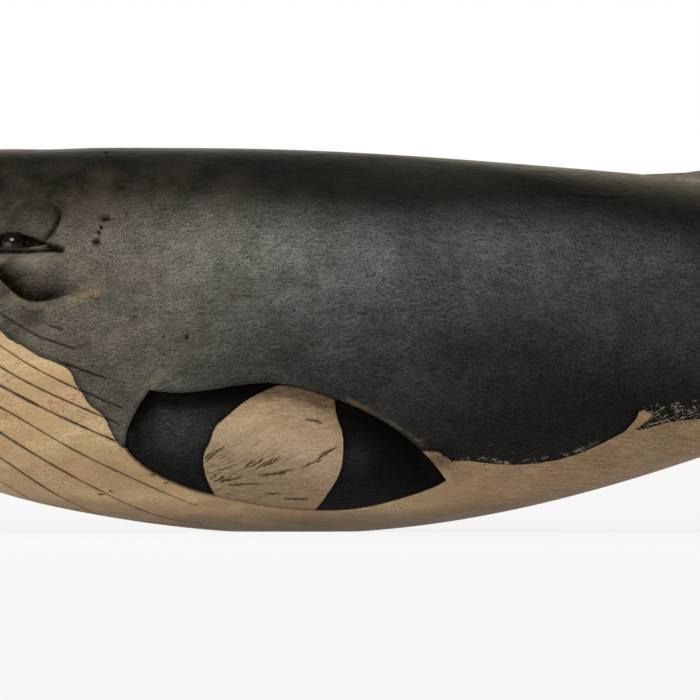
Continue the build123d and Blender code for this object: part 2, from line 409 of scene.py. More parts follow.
    def lay(self, side: Array) -> Array:
        """X and girth of places on the left flank, given by X and Z in side view."""
        return np.column_stack([side[:, 0], self.girth(side[:, 0], self.down(*side.T))])

    def trace(self, points: Points, count: int = 60) -> Array:
        """X and girth along a smooth line on the left flank, given by X and Z in side view."""
        return self.lay(drawn_line(points, count))

    def spot(self, x: float, z: float) -> Array:
        """X and girth of one place on the left flank."""
        return self.lay(np.array([[x, z]]))[0]


@dataclass(frozen=True)
class Leaf:
    """A flipper's outline in side view, and how deep its pocket is.

    The three edges hold shares of the length and the height. They meet at the tip and under the nose, at
    given shares of the way round.
    """

    length: float = 120.5
    height: float = 47.6
    front: float = -61.7
    bottom: float = 8.4
    seat: float = 7.2
    tip_share: float = 0.44
    nose_share: float = 0.88
    upper: Points = (
        (0.076, 0.945), (0.257, 0.940), (0.437, 0.998), (0.652, 0.874), (0.894, 0.528), (1.0, 0.222),
    )
    lower: Points = (
        (1.0, 0.222), (0.946, 0.150), (0.879, 0.092), (0.785, 0.024), (0.681, -0.017), (0.580, -0.020),
        (0.285, 0.095), (0.039, 0.378), (0.0, 0.512),
    )
    nose: Points = ((0.0, 0.512), (0.009, 0.640), (0.030, 0.760), (0.076, 0.945))

    def edge(self, shares: Points, count: int) -> Array:
        """X and Z of points along one edge of the outline."""
        return drawn_line(shares, count) * (self.length, self.height) + (self.front, self.bottom)

    def ring(self, around: Array, count: int = 400, nose_count: int = 120) -> Array:
        """Points of the closed outline.

        Args:
            around: Shares of the way round, starting at the front's top corner.
            count: How many points each long edge is drawn with.
            nose_count: How many points the nose is drawn with.

        Returns:
            X and Z for each share.
        """
        lines, shares = [], []
        for edge, first, last, many in (
            (self.upper, 0.0, self.tip_share, count),
            (self.lower, self.tip_share, self.nose_share, count),
            (self.nose, self.nose_share, 1.0, nose_count),
        ):
            lines.append(self.edge(edge, many)[1:])
            shares.append(np.linspace(first, last, many)[1:])
        line = np.vstack([self.edge(self.upper, count)[:1], *lines])
        at = np.concatenate([[0.0], *shares])
        return np.column_stack([np.interp(around, at, line[:, axis]) for axis in (0, 1)])


@dataclass(frozen=True)
class Cut:
    """A line cut into the wood, deepest in its middle, with painted shade along it."""

    points: Points
    depth: float
    half_width: float
    stain_and_painted_shade: float
    fade: float


@dataclass(frozen=True)
class Groove:
    """A knife line: its seen stretch and width, and where one that turns under the belly runs on and ends."""

    points: Points
    half_width: float
    keel: float = 0.0
    end: float = 0.0


@dataclass(frozen=True)
class Fold:
    """A crease that is sharp on one side and rolls out slowly on the side above a rearward run, with painted
    shade over that side.
    """

    points: Points
    depth: float
    roll: float
    stain_and_painted_shade: float
    shade: float
    fade: float


@dataclass(frozen=True)
class Swell:
    """A soft rise or hollow with an oval foot, and how much darker it is drawn."""

    x: float
    z: float
    rise: float
    long: float
    tall: float
    darkening: float = 0.0


@dataclass(frozen=True)
class Pit(Swell):
    """A small hollow with an uneven rim, dark all over."""

    darkening: float = 1.3


@dataclass(frozen=True)
class Rub:
    """A line along which handling has rubbed the paint thin."""

    points: Points
    half_width: float
    share: float


@dataclass
class Skin:
    """The body's surface while it is carved.

    It holds X and girth of every place, the relief outwards, the stain and painted shade in the hollows, and
    the distance into the paint from its edge, below 0 on bare wood.
    """

    at: Array
    relief: Array
    stain_and_painted_shade: Array
    paint: Array

    def darken(self, share: Array) -> None:
        """Darken every place at least this much, with stain and painted shade."""
        self.stain_and_painted_shade = np.maximum(self.stain_and_painted_shade, share)


@dataclass
class Carving:
    """What is cut into the body's surface: throat grooves, mouth, lids, pits and flipper pockets.

    Lines hold X and Z of their points in side view, but for the blowhole's, which hold X and girth.
    """

    hull: Hull
    leaf: Leaf
    coarsest: float = 9.0
    groove_depth: float = 0.6
    groove_front: float = -200.0
    eye_sink: float = 3.0
    eye: tuple[float, float] = (-103.5, 109.0)
    throat_grooves: tuple[Groove, ...] = (
        Groove(((-108.8, 82.1), (-101.2, 77.2), (-96.0, 74.2), (-87.4, 70.9), (-78.8, 67.9)), 0.30),
        Groove(((-108.8, 70.1), (-93.4, 60.4), (-78.8, 53.2), (-61.5, 46.0)), 0.27),
        Groove(((-108.8, 62.2), (-93.4, 53.6), (-82.1, 48.4), (-63.0, 39.8)), 0.30),
        Groove(((-108.8, 55.1), (-93.4, 46.9), (-74.2, 37.9), (-64.0, 33.6)), 0.44),
        Groove(((-108.8, 46.9), (-94.5, 38.6), (-80.2, 30.4), (-70.5, 25.5), (-58.1, 19.5), (-46.5, 14.2),
                (-33.8, 9.4)), 0.28),
        Groove(((-108.8, 37.5), (-89.6, 25.5), (-70.5, 15.0), (-60.8, 10.1), (-50.0, 6.0)), 0.38,
               keel=0.20, end=-32.0),
        Groove(((-108.8, 27.8), (-99.4, 21.4), (-89.6, 15.2), (-83.5, 11.8), (-77.2, 8.6), (-68.8, 5.3)),
               0.36, keel=0.13, end=-26.0),
        Groove(((-108.8, 18.8), (-97.9, 12.4)), 0.32, keel=0.06, end=-20.0),
    )
    short_grooves: tuple[Groove, ...] = (
        Groove(((-94.0, 79.0), (-89.6, 77.2), (-83.6, 75.4)), 0.30),
        Groove(((-88.0, 64.6), (-78.0, 60.8), (-67.5, 57.0)), 0.30),
    )
    cuts: tuple[Cut, ...] = (
        Cut(((-210.5, 86.4), (-191.0, 87.0), (-165.0, 91.5), (-139.0, 98.0), (-121.0, 102.2), (-113.5, 101.4),
             (-108.6, 95.6)), 1.5, 0.85, 0.9, 0.04),
        Cut(((-116.0, 105.3), (-108.8, 105.2), (-101.0, 105.1), (-94.0, 105.3), (-88.5, 105.6),
             (-83.6, 104.9)), 0.4, 0.95, 1.0, 0.1),
        Cut(((-91.5, 107.2), (-88.0, 106.6), (-84.2, 105.2)), 1.8, 1.15, 1.0, 0.2),
        Cut(((99.0, 127.0), (108.0, 126.3), (116.0, 125.8), (124.0, 125.7), (133.0, 125.5)),
            0.3, 0.4, 0.75, 0.3),
    )
    folds: tuple[Fold, ...] = (
        Fold(((-111.5, 99.6), (-108.8, 95.6), (-105.6, 92.2), (-102.5, 89.4), (-98.5, 87.2), (-93.8, 86.6),
              (-88.0, 87.6), (-82.0, 89.8), (-74.0, 93.4)), 3.5, 4.8, 1.0, 8.4, 0.4),
        Fold(((-93.2, 107.8), (-90.4, 110.0), (-87.7, 113.4), (-86.1, 116.8), (-85.8, 119.4), (-87.2, 122.4),
              (-89.5, 125.0)), 2.6, 2.2, 1.0, 1.9, 0.5),
    )
    swells: tuple[Swell, ...] = (
        Swell(-100.5, 118.6, 2.8, 12.0, 5.4),
        Swell(-98.0, 100.2, 2.2, 13.0, 3.2),
        Swell(-60.0, 62.0, 0.9, 14.0, 10.0),
        Swell(-92.0, 144.3, -1.0, 15.0, 24.0),
        # The last three only darken: a spot below the cheek's crease, painted shade in the crease hollow's
        # dark front, and painted shade under the flipper's tip
        Swell(-97.0, 80.2, -0.2, 4.6, 4.2, 0.75),
        Swell(-107.5, 90.0, 0.0, 4.0, 3.4, 0.65),
        Swell(56.0, 27.0, 0.0, 7.0, 4.5, 0.7),
    )
    pit_stray: float = 0.9
    pits: tuple[Pit, ...] = (
        Pit(-69.0, 117.8, -1.6, 1.7, 1.3),
        Pit(-72.3, 109.0, -1.2, 0.9, 1.5),
        Pit(-71.4, 112.2, -0.7, 0.6, 0.9),
        Pit(-70.7, 114.4, -0.8, 0.6, 0.8),
        Pit(-38.6, 73.1, -0.7, 0.9, 0.7),
        Pit(-47.2, 73.1, -0.4, 0.6, 0.5),
        Pit(-58.0, 80.6, -0.35, 0.6, 0.5),
        Pit(-68.9, 142.6, -0.7, 1.1, 1.6),
        Pit(-51.0, 21.2, -0.5, 1.1, 0.5),
        Pit(-46.3, 18.0, -0.5, 1.0, 0.45),
        Pit(-70.8, 13.9, -0.5, 1.3, 0.4),
        Pit(-67.0, 14.9, -0.5, 1.2, 0.5),
        Pit(-105.0, 17.0, -0.3, 0.9, 0.4),
    )
    blowhole: Points = ((-136.0, 3.2), (-129.0, 4.6), (-122.0, 6.6), (-117.0, 9.4))
    blowhole_rise: float = 0.8
    blowhole_depth: float = 1.9
    upper_lid: Points = (
        (-117.0, 108.0), (-109.0, 111.2), (-105.0, 112.0), (-101.0, 111.7), (-96.4, 110.5), (-90.4, 108.0),
    )
    lower_lid: Points = ((-90.4, 108.0), (-96.0, 107.0), (-103.0, 106.7), (-110.0, 107.0), (-117.0, 108.0))
    wood_edge_head: Points = (
        (-212.0, 86.0), (-200.0, 84.4), (-180.0, 83.8), (-155.0, 83.6), (-132.0, 82.4), (-116.0, 79.4),
        (-108.8, 75.9), (-104.1, 71.8), (-100.5, 70.0), (-96.9, 67.7), (-93.3, 65.7), (-88.7, 63.9),
        (-84.4, 61.9), (-82.0, 60.0), (-80.9, 57.3), (-80.0, 55.1), (-78.1, 52.6), (-75.7, 48.6),
        (-72.9, 46.1), (-70.7, 44.2), (-68.6, 41.5), (-67.5, 39.0), (-65.3, 34.7), (-64.0, 33.0),
        (-62.2, 31.6),
    )
    wood_edge_rear: Points = (
        (49.5, 30.2), (51.7, 30.6), (54.5, 30.3), (56.6, 29.6), (58.7, 27.9), (60.7, 26.6), (67.5, 26.7),
        (74.0, 25.7), (83.5, 25.1), (92.0, 25.6), (100.3, 26.9), (107.0, 28.9), (113.2, 31.4), (117.1, 33.2),
        (122.0, 35.8), (124.7, 37.2), (126.7, 38.9), (129.7, 42.4), (131.0, 45.3), (132.4, 45.7),
        (134.7, 45.1), (136.2, 44.3), (134.4, 42.3), (131.6, 39.9), (129.4, 38.4), (131.6, 38.3),
        (134.7, 39.1), (141.4, 41.0), (146.4, 41.8), (153.6, 42.4), (168.8, 43.2), (183.8, 45.5),
        (198.0, 47.5), (210.0, 48.6), (216.0, 47.0),
    )
    below_belly: float = 400.0
    before_snout: float = -230.0

    def __post_init__(self) -> None:
        """Lay every line on the flank."""
        hull, leaf = self.hull, self.leaf
        self.grooves = [(self._pleat(groove), groove.half_width) for groove in self.throat_grooves]
        self.grooves += [(hull.trace(groove.points), groove.half_width) for groove in self.short_grooves]
        self.lines = [hull.trace(cut.points) for cut in self.cuts]
        self.creases = [hull.trace(fold.points) for fold in self.folds]
        ring = leaf.ring(np.linspace(0, 1, 500))
        self.pocket = hull.lay(ring)
        self.under = hull.lay(leaf.edge(leaf.lower, 200))
        # The lip runs from the nose's foot over the top edge to the tip
        self.lip = hull.lay(ring[np.r_[440:499, 0:220]])
        edge = np.vstack([hull.trace(self.wood_edge_head, 90), hull.lay(np.array(self.wood_edge_rear))])
        self.wood_edge = edge
        low, front = self.below_belly, self.before_snout
        self.wood_ring = np.vstack([edge, ((edge[-1, 0], low), (front, low), (front, edge[0, 1]))])
        self.eye_at = hull.spot(*self.eye)
        self.upper, self.lower = hull.trace(self.upper_lid, 40), hull.trace(self.lower_lid, 40)
        self.lids = np.vstack([self.upper, self.lower])

    def _pleat(self, groove: Groove) -> Array:
        """Carry a throat groove forward to the chin, and back under the belly.

        Args:
            groove: The groove.

        Returns:
            X and girth of the whole groove.
        """
        seen = self.hull.trace(groove.points)
        end = groove.end if groove.keel else seen[-1, 0]
        x = np.linspace(self.groove_front, end, 130)
        whole, half = self.hull.girth(x, KEEL), self.hull.girth(x, WIDEST)
        seen_whole, seen_half = self.hull.girth(seen[:, 0], KEEL), self.hull.girth(seen[:, 0], WIDEST)
        share = np.interp(x, seen[:, 0], (seen_whole - seen[:, 1]) / (seen_whole - seen_half))
        if groove.keel:
            fall = np.clip((x - seen[-1, 0]) / (end - seen[-1, 0]), 0.0, 1.0)
            share = share + (groove.keel - share) * smooth_step(0.0, 0.5, fall)
        return np.column_stack([x, whole - share * (whole - half)])

    def fineness(self, at: Array, growth: float = 0.5) -> Array:
        """How long the mesh's edges may be: short by the carving, long elsewhere.

        Args:
            at: X and girth of places.
            growth: How fast edges may grow with the distance from the carving.

        Returns:
            One length for each place.
        """
        length = np.full(len(at), self.coarsest)
        for line, fine, wide in self._details():
            length = np.minimum(length, fine + growth * np.clip(gap_to(at, line) - wide, 0.0, None))
        return length

    def _details(self) -> list[tuple[Array, float, float]]:
        """List every carved line.

        Returns:
            Each line, with the edge length that it needs and how far to its sides.
        """
        details = [(self.pocket, 0.24, 0.45), (np.array(self.blowhole), 0.55, 1.6), (self.lids, 0.34, 1.0)]
        details += [(line, 0.32, 0.4) for line, _ in self.grooves]
        details += [(line, 0.5 * cut.half_width, cut.half_width) for cut, line in zip(self.cuts, self.lines)]
        details += [(line, 0.45, 3.0) for line in self.creases]
        for middle, reach, fine, wide in ((30.0, 142.0, 0.9, 1.0), (129.0, 8.5, 0.4, 1.5)):
            near = np.abs(self.wood_edge[:, 0] - middle) < reach
            details.append((self.wood_edge[near], fine, wide))
        for pit in self.pits:
            spot = self.hull.spot(pit.x, pit.z)
            details.append((np.array([spot, spot + (0.1, 0.0)]), 0.35, 1.5 * pit.long))
        return details

    def carve(self, at: Array) -> Skin:
        """Work out the relief, and the stain and painted shade in its hollows.

        Args:
            at: X and girth of every place.

        Returns:
            The carved skin.
        """
        paint = np.where(inside(at, self.wood_ring), -1.0, 1.0) * gap_to(at, self.wood_edge)
        skin = Skin(at, np.zeros(len(at)), np.zeros(len(at)), paint)
        for step in (
            self._cut_grooves, self._cut_lines, self._raise_swells, self._pierce_blowhole, self._press_folds,
            self._open_lids, self._leave_tool_marks, self._sink_pocket,
        ):
            step(skin)
        return skin

    def _cut_grooves(self, skin: Skin) -> None:
        """Cut the throat's knife lines, uneven in width and blacker on bare wood.

        Args:
            skin: The skin to carve.
        """
        uneven = rough(skin.at, 9.0, 7.7)
        darkest = np.where(skin.paint > 0, 0.72, 0.95)
        for line, wide in self.grooves:
            gap, share = line_distance(skin.at, line)
            long = run_of(line)[-1]
            form = bell(gap, wide * (1 + 0.45 * uneven)) * taper(share, 6.0 / long, 2.0 / long)
            skin.relief -= self.groove_depth * form
            skin.darken(np.clip((1.1 + 0.4 * uneven) * form, 0.0, 1.0) * darkest)

    def _cut_lines(self, skin: Skin) -> None:
        """Cut the mouth, the eye's corner and the crack before the fin, with painted shade along each.

        Args:
            skin: The skin to carve.
        """
        for cut, line in zip(self.cuts, self.lines):
            gap, share = line_distance(skin.at, line)
            runs = taper(share, cut.fade, cut.fade)
            skin.relief -= cut.depth * bell(gap, cut.half_width) * runs
            dark = np.clip(1.6 * bell(gap, 0.9 * cut.half_width), 0.0, 1.0)
            skin.darken(cut.stain_and_painted_shade * dark * runs)

    def _raise_swells(self, skin: Skin) -> None:
        """Raise the brow, the pouch and the cheek, sink the pits, and darken the pits and a few spots.

        Args:
            skin: The skin to carve.
        """
        shaken = skin.at + self.pit_stray * rough(skin.at, 1.0, 9.2)[:, None]
        for swells, places in ((self.swells, skin.at), (self.pits, shaken)):
            for swell in swells:
                form = oval(places, self.hull.spot(swell.x, swell.z), (swell.long, swell.tall))
                skin.relief += swell.rise * form
                skin.darken(np.clip(swell.darkening * form, 0.0, 1.0))

    def _pierce_blowhole(self, skin: Skin) -> None:
        """Cut the blowhole's slit into a low ridge.

        Args:
            skin: The skin to carve.
        """
        gap, share = line_distance(skin.at, self.blowhole)
        slit = bell(gap, 0.9) * taper(share, 0.2, 0.2)
        skin.relief += self.blowhole_rise * bell(gap, 3.0) - self.blowhole_depth * slit
        skin.darken(slit)

    def _press_folds(self, skin: Skin) -> None:
        """Press the creases in, with a low ridge along their sharp sides and painted shade over their
        hollows.

        Args:
            skin: The skin to carve.
        """
        for fold, line in zip(self.folds, self.creases):
            gap, share = line_distance(skin.at, line, 25.0)
            rolled = turn_side(skin.at, line, share) < 0
            runs = taper(share, 0.06, fold.fade)
            hollow = np.where(rolled, smooth_step(-0.1, 0.7, gap) * np.exp(-gap / fold.roll), 0.0)
            ridge = np.where(rolled, 0.0, np.exp(-gap / 2.2))
            skin.relief += (0.5 * ridge - fold.depth * hollow) * runs
            # Painted shade over each crease, widest over its rolled hollow
            skin.darken(fold.stain_and_painted_shade * bell(gap, np.where(rolled, fold.shade, 0.5)) * runs)

    def _open_lids(self, skin: Skin) -> None:
        """Sink the eye's opening, raise the lower lid's rim, and paint shade on both lids and into the
        opening.

        Args:
            skin: The skin to carve.
        """
        at = skin.at
        under, over = gap_to(at, self.lower), gap_to(at, self.upper)
        lid = gap_to(at, self.lids) * np.where(inside(at, self.lids), -1.0, 1.0)
        outside = lid > 0
        skin.relief += np.where(outside, 0.7 * bell(under - 0.45, 0.4), 0.0)
        skin.relief -= self.eye_sink * smooth_step(0.3, -0.5, lid)
        # Painted shade: along the lower lid's front half, inside the opening, and fading up under the brow
        # above it
        skin.darken(0.85 * bell(under, 1.3) * smooth_step(-95.5, -98.5, at[:, 0]))
        skin.darken(np.where(outside, 0.55 * np.exp(-over / 1.8), 1.0) * (under > 0.1))

    def _leave_tool_marks(self, skin: Skin) -> None:
        """Leave the flank as uneven as a gouge and sandpaper do, but for the seam.

        Args:
            skin: The skin to carve.
        """
        at = skin.at
        seam = smooth_step(0.0, 14.0, np.minimum(at[:, 1], self.hull.girth(at[:, 0], KEEL) - at[:, 1]))
        skin.relief += seam * (0.34 * rough(at, 34.0, 1.7) + 0.13 * rough(at, 12.0, 4.1))

    def _sink_pocket(self, skin: Skin) -> None:
        """Sink the flipper's pocket, raise a lip over it that is eased at its edge, and paint a shadow along
        the pocket's lower front edge.

        Args:
            skin: The skin to carve.
        """
        at = skin.at
        gap, lip_gap = gap_to(at, self.pocket), gap_to(at, self.lip)
        lip = 0.55 * bell(lip_gap - 2.6, 2.2) - 0.35 * bell(lip_gap, 0.7)
        floor = -self.leaf.seat * smooth_step(0.0, 0.45, gap)
        skin.relief += np.where(inside(at, self.pocket), floor, lip)
        # Painted shadow in the gap along the pocket's lower front edge
        skin.darken(0.8 * bell(gap_to(at, self.under), 0.7) * smooth_step(-20.0, -40.0, at[:, 0]))


@dataclass
class BodyPaint:
    """What the body's finish follows from place to place: how the paint was brushed on, worn and soiled, and
    where highlight and shade are painted into it.

    Bristles hold the X, the reach and the strength of a place where the brush strayed.
    """

    carving: Carving
    stray: float = 0.18
    bristles: tuple[tuple[float, float, float], ...] = ((56.0, 6.0, 0.9), (133.0, 3.0, 0.3))
    lip_rub: float = 0.42
    lip_rub_width: float = 1.3
    rubs: tuple[Rub, ...] = (
        Rub(((-54.5, 52.4), (-50.5, 56.0), (-48.0, 60.5)), 3.2, 1.0),
        Rub(((-103.4, 88.2), (-99.0, 85.9), (-92.6, 84.4)), 2.3, 0.9),
        Rub(((-82.4, 86.4), (-77.0, 88.6), (-70.0, 91.6)), 3.2, 1.0),
        Rub(((-64.0, 32.0), (-61.5, 40.0), (-57.0, 47.0)), 1.6, 0.8),
        Rub(((6.0, 70.5), (16.0, 67.0), (27.0, 63.5)), 4.0, 0.5),
        Rub(((22.0, 49.4), (32.6, 44.1), (40.9, 39.3), (49.1, 33.6)), 1.2, 0.95),
    )

    def dress(self, skin: Skin) -> dict[str, Array]:
        """Work out what the finish reads.

        Args:
            skin: The carved skin.

        Returns:
            One value for each place, by the attribute's name.
        """
        at = skin.at
        return {
            "flow": np.column_stack([at, np.zeros(len(at))]),
            "paint": skin.paint,
            "stain_and_painted_shade": skin.stain_and_painted_shade,
            "ragged": self._ragged(at),
            "wear": self._wear(at),
            "warm": self._warm(at),
            "polish_and_painted_light": self._polish_and_painted_light(at),
            "chips": self._chips(skin),
            "dust_and_painted_highlight": self._dust_and_painted_highlight(at),
            "ruddy_and_painted_shade": smooth_step(30.0, 120.0, at[:, 0]),
        }

    def _ragged(self, at: Array) -> Array:
        """How far the brush strayed at the paint's edge: most in two places along the rear belly."""
        return self.stray + sum(much * bell(at[:, 0] - x, reach) for x, reach, much in self.bristles)

    def _wear(self, at: Array) -> Array:
        """Where handling has rubbed the paint thin.

        Args:
            at: X and girth of every place.

        Returns:
            A share for each place.
        """
        wear = self.lip_rub * bell(gap_to(at, self.carving.lip), self.lip_rub_width)
        for rub in self.rubs:
            gap = gap_to(at, self.carving.hull.trace(rub.points))
            wear = np.maximum(wear, rub.share * bell(gap, rub.half_width))
        return wear

    @staticmethod
    def _warm(at: Array) -> Array:
        """How brown the thin paint looks: most about the head, least on the back and towards the tail.

        Args:
            at: X and girth of every place.

        Returns:
            A share for each place.
        """
        x, girth = at.T
        off_back = 0.3 + 0.7 * smooth_step(20.0, 52.0, girth)
        return off_back * smooth_step(45.0, -95.0, x + 0.25 * (girth - 60.0))

    @staticmethod
    def _chips(skin: Skin) -> Array:
        """Where the brush skipped: in flecks along the rear belly's edge, and in a patch by its spur.

        Args:
            skin: The carved skin.

        Returns:
            A share for each place.
        """
        x, paint = skin.at[:, 0], skin.paint
        strip = smooth_step(58.0, 66.0, x) * smooth_step(122.0, 112.0, x) * bell(paint - 1.4, 1.2)
        patch_reach = 4.0 + 6.0 * smooth_step(133.0, 145.0, x)
        patch = np.exp(-(((x - 145.0) / 15.0) ** 4)) * (paint > 0)
        patch = patch * smooth_step(1.0, 0.4, paint / patch_reach)
        return np.maximum(0.85 * strip, patch)

    def _dust_and_painted_highlight(self, at: Array) -> Array:
        """Where the paint is paled: dust with a painted rim highlight along the top of the back, a painted
        highlight widest before the fin, and dust on the pouch under the eye.

        Args:
            at: X and girth of every place.

        Returns:
            A share for each place.
        """
        x, girth = at.T
        half_width = 10.0 + 6.5 * smooth_step(20.0, 140.0, x)
        back = bell(girth, half_width) * (1 - 0.5 * smooth_step(-115.0, -175.0, x))
        shoulder = 0.16 * oval(at, (52.0, 0.0), (34.0, 30.0))
        pouch = 0.3 * oval(at, (-96.0, self.carving.eye_at[1] + 8.0), (10.0, 3.4))
        return np.maximum(np.maximum(back, shoulder), pouch)

    def _polish_and_painted_light(self, at: Array) -> Array:
        """How much the paint shines and how light it is drawn: polish and a painted highlight on the upper
        flank, painted shade low down, to the rear and under the brow.

        Args:
            at: X and girth of every place.

        Returns:
            A share for each place.
        """
        x, girth = at.T
        rear = smooth_step(30.0, 110.0, x)
        upper_edge = 40.0 + 5.0 * bell(x - 20.0, 50.0) - 8.0 * rear + 2.0 * smooth_step(-30.0, -80.0, x)
        upper = smooth_step(upper_edge, upper_edge + 30.0, girth)
        lower_edge = 67.0 - 9.0 * rear - 7.0 * bell(x - 60.0, 25.0)
        lower_fall = 60.0 - 10.0 * bell(x - 50.0, 40.0)
        kept = 0.22 * bell(x - 45.0, 42.0) * smooth_step(lower_edge + 95.0, lower_edge + 50.0, girth)
        lower = (0.95 - kept) * smooth_step(lower_edge, lower_edge + lower_fall, girth)
        lower = lower * smooth_step(-130.0, 20.0, x)
        ends = 1 - 0.32 * smooth_step(0.0, 60.0, x) - 0.26 * smooth_step(60.0, 150.0, x)
        ends = ends * (1 - 0.38 * smooth_step(-40.0, -95.0, x))
        brow = oval(at, (-101.0, self.carving.eye_at[1] - 11.0), (15.0, 9.0))
        return (0.03 + 1.38 * upper * (1 - lower)) * ends * (1 - 0.35 * brow)


class Graph:
    """The nodes of a material or the world, added and joined one at a time."""

    def __init__(self, owner: Material | bpy.types.World) -> None:
        """Start with the owner's own shader node.

        Args:
            owner: The material or world.
        """
        owner.use_nodes = True
        self.owner = owner
        self.tree = owner.node_tree
        self.shader = self.tree.nodes.get("Principled BSDF") or self.tree.nodes.get("Background")

    def add(self, kind: str, settings: dict[str, str] | None = None, **inputs: Value) -> bpy.types.Node:
        """Add one node.

        Args:
            kind: The node's type.
            settings: Properties to set on it.
            **inputs: Values or sockets for its inputs, by name with spaces as underscores.

        Returns:
            The node.
        """
        node = self.tree.nodes.new(kind)
        for key, value in (settings or {}).items():
            setattr(node, key, value)
        for key, value in inputs.items():
            self.feed(node.inputs[key.replace("_", " ")], value)
        return node

    def feed(self, socket: Socket, value: Value) -> None:
        """Join a socket to another, or set its value.

        Args:
            socket: The input.
            value: What it takes.
        """
        if isinstance(value, Socket):
            self.tree.links.new(value, socket)
        else:
            socket.default_value = value

    def feed_all(self, node: bpy.types.Node, values: dict[int, Value]) -> None:
        """Feed a node's inputs by their numbers."""
        for number, value in values.items():
            self.feed(node.inputs[number], value)

    def show(self, **inputs: Value) -> None:
        """Feed the owner's shader, by its inputs' names with spaces as underscores."""
        for key, value in inputs.items():
            self.feed(self.shader.inputs[key.replace("_", " ")], value)

    def attribute(self, name: str, output: str = "Fac") -> Socket:
        """Read one of the mesh's attributes."""
        return self.add("ShaderNodeAttribute", {"attribute_name": name}).outputs[output]

    def object_place(self) -> Socket:
        """Object coordinates."""
        return self.add("ShaderNodeTexCoord").outputs["Object"]

    def _join(self, how: Operation, values: tuple[Value, ...]) -> Socket:
        """Join numbers, one after the other.

        Args:
            how: The way they join.
            values: Numbers or sockets.

        Returns:
            The result's socket.
        """
        result = values[0]
        for value in values[1:]:
            node = self.add("ShaderNodeMath", {"operation": how.value})
            self.feed_all(node, {0: result, 1: value})
            result = node.outputs[0]
        return result

    def times(self, *values: Value) -> Socket:
        """Multiply numbers."""
        return self._join(Operation.TIMES, values)

    def plus(self, *values: Value) -> Socket:
        """Add numbers."""
        return self._join(Operation.PLUS, values)

    def less(self, *values: Value) -> Socket:
        """Take the later numbers from the first."""
        return self._join(Operation.LESS, values)

    def most(self, *values: Value) -> Socket:
        """Pick the largest number."""
        return self._join(Operation.MOST, values)

    def reckon(self, how: str, *values: Value | tuple[float, float, float]) -> bpy.types.Node:
        """Add a node that reckons with vectors.

        Args:
            how: What it does.
            *values: Its inputs, in order.

        Returns:
            The node.
        """
        node = self.add("ShaderNodeVectorMath", {"operation": how})
        self.feed_all(node, dict(enumerate(values)))
        return node

    def stretch(self, place: Value, scale: tuple[float, float, float], turn: float = 0.0) -> Socket:
        """Scale a place after turning it about Z.

        Args:
            place: The place.
            scale: Factors along its axes.
            turn: Angle in degrees.

        Returns:
            The new place's socket.
        """
        if turn:
            settings = {"rotation_type": "Z_AXIS"}
            rotate = self.add("ShaderNodeVectorRotate", settings, Vector=place, Angle=math.radians(turn))
            place = rotate.outputs[0]
        return self.reckon("MULTIPLY", place, scale).outputs[0]

    def grain(self, place: Value, scale: float = 1.0, detail: float = 3.0, roughness: float = 0.55) -> Socket:
        """Cloudy noise of 0 to 1, by its fineness, its octaves and how strong the fine ones are."""
        node = self.add("ShaderNodeTexNoise", Vector=place, Scale=scale, Detail=detail, Roughness=roughness)
        return node.outputs["Fac"]

    def warped(self, place: Value, size: float, reach: float) -> Socket:
        """Push places about with a slow noise.

        Args:
            place: The places.
            size: Width of the noise.
            reach: How far it pushes.

        Returns:
            The pushed places' socket.
        """
        cloud = self.add("ShaderNodeTexNoise", Vector=place, Scale=1.0 / size, Detail=1.0).outputs["Color"]
        centred = self.reckon("SUBTRACT", cloud, (0.5, 0.5, 0.5)).outputs[0]
        return self.reckon("MULTIPLY_ADD", centred, (reach, reach, reach), place).outputs[0]

    def between(self, value: Value, low: float, high: float, start: float = 0.0, end: float = 1.0) -> Socket:
        """Take a value from one range smoothly to another.

        Args:
            value: The value.
            low: Lower end of its range.
            high: Upper end of its range.
            start: Result at the lower end.
            end: Result at the upper end.

        Returns:
            The result's socket.
        """
        node = self.add("ShaderNodeMapRange", {"interpolation_type": "SMOOTHSTEP"}, Value=value,
                        From_Min=low, From_Max=high, To_Min=start, To_Max=end)
        return node.outputs[0]

    def blend(self, share: Value, a: Value, b: Value) -> Socket:
        """Mix two colours.

        Args:
            share: How much of the second.
            a: First colour.
            b: Second colour.

        Returns:
            The mixed colour's socket.
        """
        node = self.add("ShaderNodeMix", {"data_type": "RGBA"})
        self.feed_all(node, {0: share, 6: a, 7: b})
        return node.outputs[2]

    def mix(self, share: Value, a: Value, b: Value) -> Socket:
        """Mix two numbers.

        Args:
            share: How much of the second.
            a: First number.
            b: Second number.

        Returns:
            The mixed number's socket.
        """
        node = self.add("ShaderNodeMix", {"data_type": "FLOAT"})
        self.feed_all(node, {0: share, 2: a, 3: b})
        return node.outputs[0]

    def bump(self, height: Value, strength: float, distance: float) -> None:
        """Raise the surface in the shader, where a height of 1 stands for a distance in metres."""
        node = self.add("ShaderNodeBump", Height=height, Strength=strength, Distance=distance)
        self.show(Normal=node.outputs[0])


